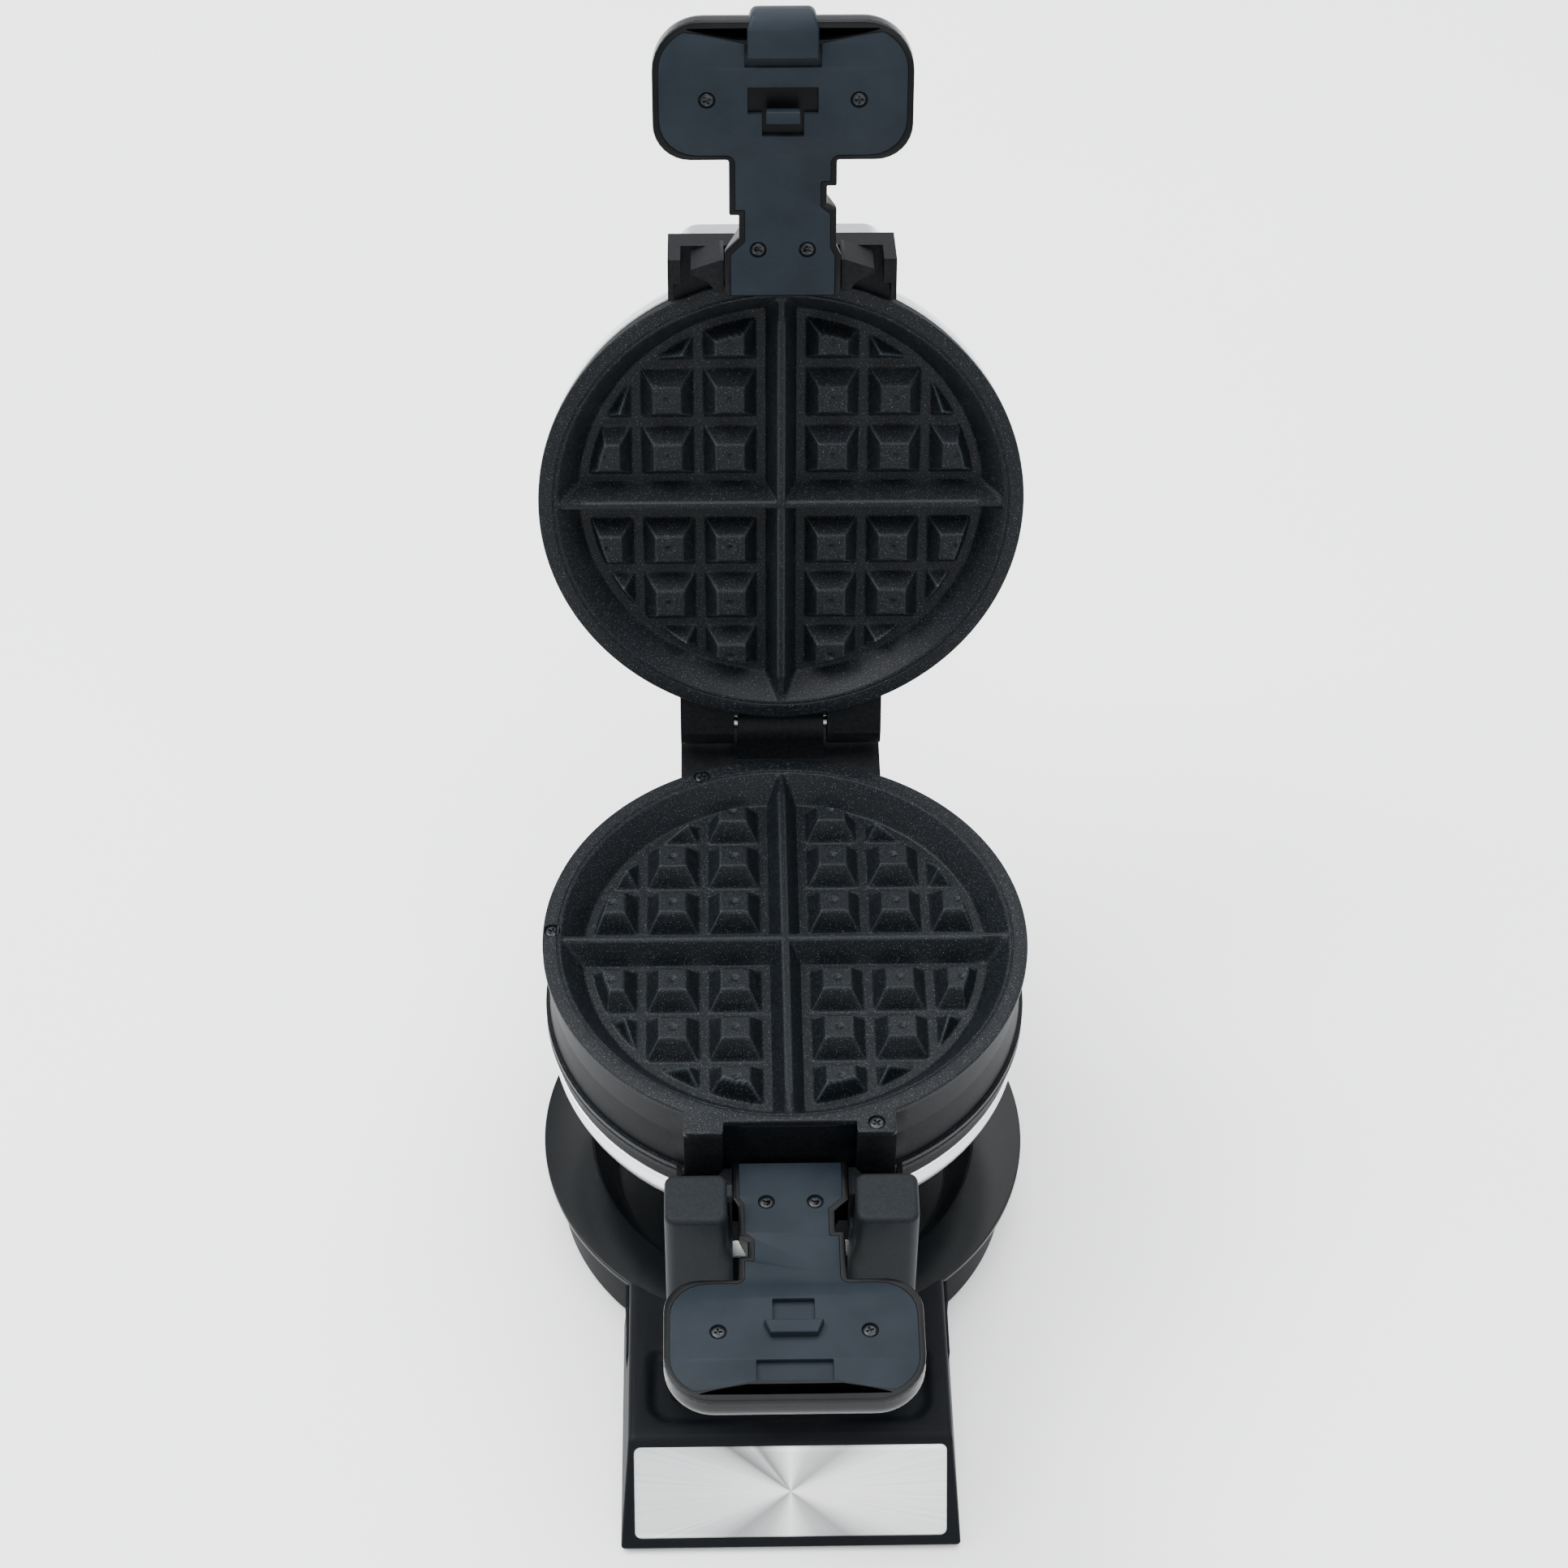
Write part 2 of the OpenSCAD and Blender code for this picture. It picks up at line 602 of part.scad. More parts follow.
// Handle outline seen along Z, y negative at the front.
module handle_outline(inset, near_left) {
    s = near_left ? -1 : 1;
    w = neck_r - inset;
    root_out = root_w + rim_w - inset;
    difference() {
        union() {
            translate([-w, -head_back - 5]) square([2 * w, head_back + 5 - neck_back]);
            // the root widens from the neck over a short slope
            polygon([[root_out, -neck_back], [-root_out, -neck_back], [-root_out, -root_y],
                [-w, -root_y - 3.5], [w, -root_y - 3.5], [root_out, -root_y]]);
            round_rect([-head_w / 2 + inset, head_w / 2 - inset],
                [-handle_reach + inset, -head_back - inset], head_round - inset);
        }
        notch(s, notch_near, inset);
        notch(-s, notch_far, inset);
    }
}
module notch(s, y, inset) {
    x = notch_x - inset;
    mirror([s < 0 ? 1 : 0, 0]) polygon([
        [x, -y[1] - inset], [neck_r + 3, -y[1] - inset], [neck_r + 3, -y[0] + 3 + inset],
        [neck_r - 2, -y[0] + 3 + inset], [x, -y[0] + inset]]);
}
// Handle shell, z from the mid plane; the handle plate lies in its rim.
module handle_shell() {
    difference() {
        union() {
            intersection() {
                along_y(-head_back - 8, -neck_back, neck_r);
                linear_extrude(neck_r + 1) handle_outline(0, true);
            }
            // root that seats in the saddle of the front housing
            intersection() {
                along_y(-root_y, -neck_back, root_r);
                block([-root_w, root_w], [-root_y, -neck_back], [gap / 2, root_r]);
            }
            translate([0, 0, gap / 2]) linear_extrude(head_depth - gap / 2) intersection() {
                handle_outline(0, true);
                translate([-head_w, -handle_reach - 1]) square([2 * head_w, head_len + 1]);
            }
        }
        translate([-60, -handle_reach - 5, -1]) cube([120, 130, 1 + gap / 2]);
        // hollow under the handle plate
        difference() {
            union() {
                intersection() {
                    along_y(-head_back - 8, -neck_back - 3, neck_r - wall);
                    linear_extrude(neck_r + 1) handle_outline(wall, true);
                }
                linear_extrude(head_depth - wall) intersection() {
                    handle_outline(wall, true);
                    translate([-head_w, -handle_reach - 1]) square([2 * head_w, head_len + 1]);
                }
            }
            handle_bosses();
        }
        // seat of the handle plate
        translate([0, 0, -1]) linear_extrude(1 + gap / 2 + tplate_t) handle_outline(rim_w, true);
        // finger scoop in the front wall
        along_y(-handle_reach - 1, -handle_reach + 6, 90, -84);
        for (s = [-1, 1]) {
            translate([s * neck_screw[0], -neck_screw[1], -1]) cylinder(r = 1.5, h = 13);
            translate([s * head_screw[0], -head_screw[1], -1]) cylinder(r = 1.5, h = 13);
        }
    }
}
module handle_bosses() {
    for (s = [-1, 1]) {
        translate([s * neck_screw[0], -neck_screw[1], gap / 2 + tplate_t]) cylinder(r = 4, h = 20);
        translate([s * head_screw[0], -head_screw[1], gap / 2 + tplate_t]) cylinder(r = 4, h = 20);
    }
}
module handle_plate(latched) {
    difference() {
        translate([0, 0, gap / 2]) linear_extrude(tplate_t) handle_outline(rim_w + 0.25, true);
        for (s = [-1, 1]) {
            translate([s * neck_screw[0], -neck_screw[1], -1]) cylinder(r = 1.6, h = 13);
            translate([s * neck_screw[0], -neck_screw[1], -1])
                cylinder(r = 3.2, h = 1 + gap / 2 + sink + head_h);
            translate([s * head_screw[0], -head_screw[1], -1]) cylinder(r = 1.6, h = 13);
            translate([s * head_screw[0], -head_screw[1], -1])
                cylinder(r = 3.2, h = 1 + gap / 2 + sink + head_h);
        }
        if (latched) {
            // slot for the button's foot, and the holes for hook and catch
            block([-latch_w - 0.6, latch_w + 0.6], [-handle_reach, -nib_y[0] + latch_travel + 0.6], [-1, 5]);
            block([-lug_w - 0.6, lug_w + 0.6], [-lug_y[1] - 0.6, -lug_y[0] + 1.8], [-1, 5]);
            block([-hook_w - 0.4, hook_w + 0.4], [-lug_y[0], -hook_y + hook_t + latch_travel + 2], [-1, 5]);
        } else {
            block([-hook_w - 1, hook_w + 1], [-hook_y - 0.4, -hook_y + hook_t + latch_travel + 4], [-1, 5]);
            block([-latch_w - 0.9, latch_w + 0.9],
                [-nib_y[1] - 0.6, -nib_y[0] + latch_travel + 0.6], [-1, nib_drop + 0.1]);
        }
    }
    // catch lug of the plain handle plate, standing proud of the mid plane
    if (!latched) difference() {
        block([-lug_w, lug_w], [-lug_y[1], -lug_y[0]], [-lug_h, gap / 2 + 0.1]);
        translate([0, -lug_y[1], -lug_h]) rotate([45, 0, 0]) cube([60, 3, 3], center = true);
    }
}
module handle_screws() {
    for (s = [-1, 1], p = [neck_screw, head_screw])
        translate([s * p[0], -p[1], gap / 2 + sink]) mirror([0, 0, 1]) screw(2.9, 1.45, 11);
}
// Black plate that closes the hinge carrier between the two ears.
module hinge_plate() {
    difference() {
        block([-ear_out + 1, ear_out - 1], [plate_r - 10.5, hinge_y - 5.2],
            [hinge_z + knuckle_r - 1, hinge_z + knuckle_r + 1]);
        for (s = [-1, 1]) translate([s * 33, plate_r - 5, hinge_z]) cylinder(r = 1.7, h = 20);
    }
}
module hinge_screws() {
    for (s = [-1, 1]) translate([s * 33, plate_r - 5, hinge_z + knuckle_r + 1 + head_h]) screw(3, 1.55, 11);
}

module upper_ring() { color("#15181c") opened() lid_ring(); }
module upper_plate() { color("#23272c") opened() lid_plate_cut(); }
module upper_element() { color("#6f6a62") opened() lid_element(); }
module upper_reflector() { color("#b8bbbf") opened() lid_reflector(); }
module upper_thermostat() { color("#d8d2c4") opened() lid_thermostat(); }
module upper_cover() { color("#c4c8ca") opened() lid_cover(); }
module upper_handle_shell() { color("#0c0e12") opened() difference() { handle_shell(); latch_room(); } }
module upper_handle_plate() { color("#2b3444") opened() handle_plate(true); }
module upper_handle_screws() { color("#1c1d1f") opened() handle_screws(); }
module upper_hinge_plate() { color("#15181c") opened() hinge_plate(); }
module upper_hinge_screws() { color("#1c1d1f") opened() hinge_screws(); }
module upper_lights() { color("#b04028") opened() lid_lights(); }

module lower_ring() { color("#15181c") on_axis_flipped() lid_ring(); }
module lower_plate() { color("#23272c") on_axis_flipped() lid_plate_cut(); }
module lower_element() { color("#6f6a62") on_axis_flipped() lid_element(); }
module lower_reflector() { color("#b8bbbf") on_axis_flipped() lid_reflector(); }
module lower_thermostat() { color("#d8d2c4") on_axis_flipped() lid_thermostat(); }
module lower_cover() { color("#c4c8ca") on_axis_flipped() lid_cover(); }
module lower_handle_shell() { color("#0c0e12") on_axis_flipped() handle_shell(); }
module lower_handle_plate() { color("#2b3444") on_axis_flipped() handle_plate(false); }
module lower_handle_screws() { color("#1c1d1f") on_axis_flipped() handle_screws(); }
module lower_hinge_plate() { color("#15181c") on_axis_flipped() hinge_plate(); }
module lower_hinge_screws() { color("#1c1d1f") on_axis_flipped() hinge_screws(); }
module lower_lights() { color("#b04028") on_axis_flipped() lid_lights(); }

// ---------- latch in the upper handle ----------
button_z = 13;
module latch_room() {
    block([-latch_w - 0.5, latch_w + 0.5], [-handle_reach - 1, -handle_reach + wall + 1],
        [-1, button_z + 0.6]);
}
module latch_button() {
    color("#222b38") opened() {
        // thumb block at the front, its foot and the arm to the hook
        block([-latch_w, latch_w], [-handle_reach - 4, -nib_y[0]], [1, button_z]);
        block([-latch_w, latch_w], [-nib_y[1], -nib_y[0]], [-nib_drop, 1.5]);
        block([-hook_w, hook_w], [-nib_y[0] - 1, -hook_y + hook_t], [6, 10]);
        block([-hook_w, hook_w], [-hook_y, -hook_y + hook_t], [-hook_z - 3, 8]);
        difference() {
            block([-hook_w, hook_w], [-hook_y - lip, -hook_y + 1], [-hook_z - 3, -hook_z]);
            translate([0, -hook_y - lip, -hook_z - 3]) rotate([45, 0, 0]) cube([60, 2, 2], center = true);
        }
    }
}
module latch_spring() {
    // Coil drawn as closely stacked rings on the button's axis.
    color("#c9ccd0") opened() for (k = [0:4])
        translate([0, -hook_y + hook_t + 0.5 + k * 1.1, 8]) rotate([-90, 0, 0]) difference() {
            cylinder(r = 2.6, h = 0.8);
            translate([0, 0, -1]) cylinder(r = 1.9, h = 3);
        }
}

placed() base_shell();
placed() base_bottom_plate();
placed() base_feet();
placed() front_panel();
placed() front_yoke();
placed() base_screws();
placed() drip_tray();
placed() rear_column();
placed() column_cover();
placed() column_bush();
placed() cord_gland();
placed() rotor_shaft();
placed() shaft_ring();
placed() middle_shell_upper();
placed() middle_shell_lower();
placed() middle_plate_upper();
placed() middle_plate_lower();
placed() middle_elements();
placed() middle_plate_screws();
placed() hinge_pin_upper();
placed() hinge_pin_lower();
placed() thermal_fuse();
placed() upper_ring();
placed() upper_plate();
placed() upper_element();
placed() upper_reflector();
placed() upper_thermostat();
placed() upper_cover();
placed() upper_handle_shell();
placed() upper_handle_plate();
placed() upper_handle_screws();
placed() upper_hinge_plate();
placed() upper_hinge_screws();
placed() upper_lights();
placed() latch_button();
placed() latch_spring();
placed() lower_ring();
placed() lower_plate();
placed() lower_element();
placed() lower_reflector();
placed() lower_thermostat();
placed() lower_cover();
placed() lower_handle_shell();
placed() lower_handle_plate();
placed() lower_handle_screws();
placed() lower_hinge_plate();
placed() lower_hinge_screws();
placed() lower_lights();
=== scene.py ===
import json
import math

import bmesh
import bpy
import numpy as np
from mathutils import Matrix, Vector
from mathutils.geometry import delaunay_2d_cdt, tessellate_polygon


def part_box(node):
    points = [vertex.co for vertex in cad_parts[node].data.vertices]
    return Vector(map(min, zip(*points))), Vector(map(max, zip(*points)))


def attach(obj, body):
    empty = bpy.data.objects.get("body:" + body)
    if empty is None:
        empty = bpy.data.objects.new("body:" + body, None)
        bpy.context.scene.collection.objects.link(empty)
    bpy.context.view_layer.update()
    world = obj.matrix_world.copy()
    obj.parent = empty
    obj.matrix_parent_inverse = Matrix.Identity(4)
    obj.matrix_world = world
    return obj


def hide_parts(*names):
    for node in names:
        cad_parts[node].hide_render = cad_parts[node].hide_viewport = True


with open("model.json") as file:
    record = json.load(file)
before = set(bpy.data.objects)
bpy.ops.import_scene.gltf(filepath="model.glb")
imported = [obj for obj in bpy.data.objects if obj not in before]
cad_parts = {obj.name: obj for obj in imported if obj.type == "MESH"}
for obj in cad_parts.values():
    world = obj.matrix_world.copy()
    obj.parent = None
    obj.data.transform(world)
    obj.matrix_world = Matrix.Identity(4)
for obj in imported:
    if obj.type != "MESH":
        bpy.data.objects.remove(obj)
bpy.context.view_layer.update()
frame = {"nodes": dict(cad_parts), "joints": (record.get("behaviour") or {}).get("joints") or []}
scene = bpy.context.scene

# ---------------------------------------------------------------------------
# Camera: a long lens above and in front of the appliance, looking down at it,
# made first so that the whole scene is set for this view.
camera_place = Vector((-0.0266, -0.9006, 1.2263))
look_down, look_right, tilt = math.radians(46.81), math.radians(1.6), math.radians(0.64)
forward = Vector((math.sin(look_right) * math.cos(look_down),
                  math.cos(look_right) * math.cos(look_down), -math.sin(look_down)))
level = Vector((math.cos(look_right), -math.sin(look_right), 0.0))
upward = level.cross(forward)
camera = bpy.data.objects.new("camera", bpy.data.cameras.new("camera"))
scene.collection.objects.link(camera)
scene.camera = camera
camera.matrix_world = Matrix.Translation(camera_place) @ Matrix((
    level * math.cos(tilt) + upward * math.sin(tilt),
    upward * math.cos(tilt) - level * math.sin(tilt),
    -forward)).transposed().to_4x4()
camera.data.sensor_width = 36.0
camera.data.lens = 79.4
camera.data.clip_end = 20.0

# ---------------------------------------------------------------------------
# Studio: a pale paper floor, an even pale room and three soft boxes. The main
# box stands to the upper left, so the soft shadow falls to the right.
room = bpy.data.worlds.new("room")
scene.world = room
room.use_nodes = True
room.node_tree.nodes["Background"].inputs["Color"].default_value = (0.94, 0.96, 1.0, 1)
room.node_tree.nodes["Background"].inputs["Strength"].default_value = 1.15


def soft_box(name, place, aim, size, power):
    """A rectangular area light at a place, turned to its aim."""
    light = bpy.data.objects.new(name, bpy.data.lights.new(name, "AREA"))
    scene.collection.objects.link(light)
    light.data.shape = "RECTANGLE"
    light.data.size, light.data.size_y = size
    light.data.energy = power
    light.location = place
    light.rotation_euler = (Vector(aim) - Vector(place)).to_track_quat("-Z", "Y").to_euler()


soft_box("key_box", (-1.2, 0.3, 1.9), (0, 0, 0.1), (1.4, 1.2), 62)
soft_box("front_box", (0.5, -1.9, 1.0), (0, 0, 0.1), (1.8, 0.8), 15)
soft_box("rear_box", (0.5, 1.5, 1.6), (0, 0, 0.15), (1.8, 0.7), 16)
soft_box("top_box", (0.1, 0.1, 2.7), (0, 0, 0), (3.0, 3.0), 150)


def finish(name, colour, rough, metal=0.0, coat=0.0, specular=0.07):
    """A principled finish: returns the material, its nodes, links and shader."""
    material = bpy.data.materials.new(name)
    material.use_nodes = True
    tree = material.node_tree
    shader = tree.nodes["Principled BSDF"]
    shader.inputs["Base Color"].default_value = (*colour, 1)
    shader.inputs["Roughness"].default_value = rough
    shader.inputs["Metallic"].default_value = metal
    shader.inputs["Coat Weight"].default_value = coat
    shader.inputs["Coat Roughness"].default_value = 0.08
    shader.inputs["Specular IOR Level"].default_value = specular
    return material, tree.nodes, tree.links, shader


def noise_of(tree_nodes, links, scale, detail=3.0, stretch=(1, 1, 1)):
    """Noise on object coordinates, in features per metre, stretched per axis."""
    place = tree_nodes.new("ShaderNodeTexCoord")
    mapping = tree_nodes.new("ShaderNodeMapping")
    mapping.inputs["Scale"].default_value = stretch
    noise = tree_nodes.new("ShaderNodeTexNoise")
    noise.inputs["Scale"].default_value = scale
    noise.inputs["Detail"].default_value = detail
    links.new(place.outputs["Object"], mapping.inputs["Vector"])
    links.new(mapping.outputs["Vector"], noise.inputs["Vector"])
    return noise


def tint_by(tree_nodes, links, shader, value, dark, light, low=0.35, high=0.65):
    """Base colour that goes from a dark to a light tone as the value rises."""
    ramp = tree_nodes.new("ShaderNodeValToRGB")
    ramp.color_ramp.elements[0].position = low
    ramp.color_ramp.elements[0].color = (*dark, 1)
    ramp.color_ramp.elements[1].position = high
    ramp.color_ramp.elements[1].color = (*light, 1)
    links.new(value, ramp.inputs["Fac"])
    links.new(ramp.outputs["Color"], shader.inputs["Base Color"])
    return ramp


floor_paper, paper_nodes, paper_links, paper_shader = finish("floor_paper", (0.9, 0.9, 0.9), 0.9)
tint_by(paper_nodes, paper_links, paper_shader, noise_of(paper_nodes, paper_links, 3.0).outputs["Fac"],
        (0.885, 0.89, 0.89), (0.91, 0.915, 0.915))
floor = bpy.data.objects.new("floor", bpy.data.meshes.new("floor"))
floor.data.from_pydata([(-6, -6, 0), (6, -6, 0), (6, 6, 0), (-6, 6, 0)], [], [(0, 1, 2, 3)])
floor.data.materials.append(floor_paper)
scene.collection.objects.link(floor)

# ---------------------------------------------------------------------------
# Cooking plates: cast aluminium under a dark sparkling non-stick coat. A flat
# rim screwed down, a sloped basin, four quarters split by tapered ribs, and
# rows of blunt peaks, most with a small dimple. Drawn rim up, then placed.
mm = 0.001
nodes = frame["nodes"]
joints = {j["name"]: j for j in frame["joints"]}
axis_point = np.array(joints["stack_turn"]["pos_m"], float)
hinge_point = np.array(joints["upper_lid_hinge"]["pos_m"], float)
open_angle = -math.radians(joints["upper_lid_hinge"]["range_deg"][0])
plate_low, plate_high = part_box("middle_plate_upper")
plate_r = (plate_high[0] - plate_low[0]) / 2 / mm
half_h = (plate_high[2] - axis_point[2]) / mm
lid_rim = half_h + 0.3
rim_in, floor_r, grid_r = plate_r - 7.5, plate_r - 16.0, plate_r - 20.0
basin_depth, plate_back, flange_t = 11.0, 13.2, 2.5
peak_first, peak_pitch, peak_half, peak_flat, peak_rise = 20.5, 25.0, 10.5, 5.5, 9.0
border_steep = 1.8
rib_half, rib_ridge = 6.0, 1.2
rim_screws = [(-33.3, plate_r - 9.2), (3.8 - plate_r, 3.9), (33.5, 2.9 - plate_r)]


def on_axis(points):
    """Local points in mm, z up from the turning axis, put in their place."""
    return np.asarray(points, float) * mm + axis_point


def on_axis_flipped(points):
    """The same, half turned over about the front-to-back axis."""
    return on_axis(np.asarray(points, float) * (-1, 1, -1))


def opened(points):
    """A closed lid's points, swung back about the hinge to the open stop."""
    back, up = (hinge_point - axis_point)[1] / mm, (hinge_point - axis_point)[2] / mm
    local = np.array(points, float)
    y, z = local[..., 1] - back, local[..., 2] - up
    c, s = math.cos(open_angle), math.sin(open_angle)
    local[..., 1] = back + y * c + z * s
    local[..., 2] = up - y * s + z * c
    return on_axis(local)


def grid_faces(rows, columns, start=0):
    """Quads of a grid of points whose columns close on themselves."""
    i, j = np.meshgrid(np.arange(rows - 1), np.arange(columns), indexing="ij")
    k = (j + 1) % columns
    return (np.stack([i * columns + j, i * columns + k, (i + 1) * columns + k,
                      (i + 1) * columns + j], -1) + start).reshape(-1, 4).tolist()


def flat_faces(points, loops):
    """Triangles that fill the flat area between index loops, outer loop first."""
    index = np.concatenate(loops)
    filled = tessellate_polygon([[Vector(points[k]) for k in loop] for loop in loops])
    return [tuple(int(index[k]) for k in triangle) for triangle in filled]


def make(name, points, faces, body, material, stands_for=(), smooth=35, marks=None):
    """Makes a piece from arrays in metres, merged and facing outward, puts a
    point attribute on it if marks are given, and lets it ride its body."""
    mesh = bpy.data.meshes.new(name)
    mesh.from_pydata(np.asarray(points, float).reshape(-1, 3).tolist(), [], faces)
    if marks is not None:
        mesh.attributes.new("painted_edge_highlight", "FLOAT", "POINT").data.foreach_set(
            "value", np.asarray(marks, np.float32))
    shell = bmesh.new()
    shell.from_mesh(mesh)
    bmesh.ops.remove_doubles(shell, verts=shell.verts, dist=2e-6)
    bmesh.ops.dissolve_degenerate(shell, edges=shell.edges, dist=1e-7)
    bmesh.ops.recalc_face_normals(shell, faces=shell.faces)
    shell.to_mesh(mesh)
    shell.free()
    mesh.polygons.foreach_set("use_smooth", np.ones(len(mesh.polygons), bool))
    mesh.set_sharp_from_angle(angle=math.radians(smooth))
    mesh.materials.append(material)
    piece = bpy.data.objects.new(name, mesh)
    scene.collection.objects.link(piece)
    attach(piece, body)
    if stands_for:
        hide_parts(*stands_for)
    return piece


def rounded(corners, steps=8):
    """Outline in mm through corners (x, y, radius), anticlockwise: each corner is
    replaced by the arc that touches both of its sides."""
    c = np.asarray(corners, float)
    outline = []
    for p, q, s in zip(np.roll(c, 1, 0), c, np.roll(c, -1, 0)):
        a, b = p[:2] - q[:2], s[:2] - q[:2]
        la, lb = np.linalg.norm(a), np.linalg.norm(b)
        a, b = a / la, b / lb
        half = 0.5 * math.acos(float(np.clip(a @ b, -1, 1)))
        if q[2] <= 0 or half > 1.5:
            outline.append(q[None, :2])
            continue
        reach = min(q[2] / math.tan(half), 0.49 * la, 0.49 * lb)
        radius = reach * math.tan(half)
        centre = q[:2] + (a + b) / np.linalg.norm(a + b) * radius / math.sin(half)
        p0, p1 = q[:2] + a * reach - centre, q[:2] + b * reach - centre
        span = math.pi - 2 * half
        t = np.linspace(0, 1, steps)[:, None]
        outline.append(centre + (np.sin((1 - t) * span) * p0 + np.sin(t * span) * p1) / math.sin(span))
    return np.concatenate(outline)


def ring(radius, count=40, centre=(0, 0)):
    """A circle in mm: x = cx + r cos t, y = cy + r sin t."""
    t = np.linspace(0, 2 * np.pi, count, endpoint=False)
    return np.stack([centre[0] + radius * np.cos(t), centre[1] + radius * np.sin(t)], -1)


def basin_height(x, y):
    """Height in mm over the rim plane: the turned basin, joined by the higher of
    the ribs and the peaks. A peak rises evenly from the nearest of its four
    sides or the round border, up to its flat top, less its dimple."""
    r = np.hypot(x, y)
    bowl = np.interp(r, [floor_r, rim_in], [-basin_depth, 0.0])
    across, along = np.abs(x), np.abs(y)
    column = np.clip(np.round((across - peak_first) / peak_pitch), 0, 3) * peak_pitch + peak_first
    row = np.clip(np.round((along - peak_first) / peak_pitch), 0, 3) * peak_pitch + peak_first
    edge = np.minimum(np.minimum(peak_half - np.abs(across - column), peak_half - np.abs(along - row)),
                      border_steep * (grid_r - r))
    peak = np.clip(edge * peak_rise / (peak_half - peak_flat), 0, peak_rise)
    pit = np.interp(np.hypot(across - column, along - row), [0, 0.45, 0.9, 1.5], [0.5, 0.95, 0.95, 0.0])
    peak = peak - np.where(np.hypot(column, row) < grid_r - 4, pit, 0.0)
    rib = np.interp(np.minimum(across, along), [rib_ridge, rib_half], [basin_depth - 0.3, 0.0])
    ground = np.maximum(bowl, -basin_depth + rib * (r < rim_in + 1))
    return np.minimum(np.maximum(ground, -basin_depth + np.maximum(peak, 0)), 0.0)


def soft_basin(x, y, radius=0.3):
    """The basin averaged over a small circle, which rounds every edge."""
    t = np.linspace(0, 2 * np.pi, 8, endpoint=False)
    total = basin_height(x, y) * 2
    for c, s in zip(np.cos(t), np.sin(t)):
        total = total + basin_height(x + radius * c, y + radius * s)
    return total / 10


def plate_outline(front_lugs):
    """Rim outline, anticlockwise from the right lug: a circle, cut straight at
    the front and carried out over the two lugs of a middle plate."""
    lug = plate_r + 2
    side = math.sqrt(plate_r ** 2 - 41 ** 2)
    start = -math.atan2(side, 41)
    t = np.linspace(start, math.pi - start, 470)
    circle = np.stack([plate_r * np.cos(t), plate_r * np.sin(t)], -1)
    if not front_lugs:
        return ring(plate_r, 480)
    front = rounded([(-41, -side - 2, 0), (-41, -lug, 1.5), (-26, -lug, 1.0), (-26, 3.7 - plate_r, 1.0),
                     (26, 3.7 - plate_r, 1.0), (26, -lug, 1.0), (41, -lug, 1.5), (41, -side - 2, 0)], 6)
    front = front[1:-1]
    steps = [np.linspace(a, b, max(2, int(np.linalg.norm(b - a) / 1.3)), endpoint=False)
             for a, b in zip(front[:-1], front[1:])]
    return np.concatenate([circle] + steps + [front[-1:]])


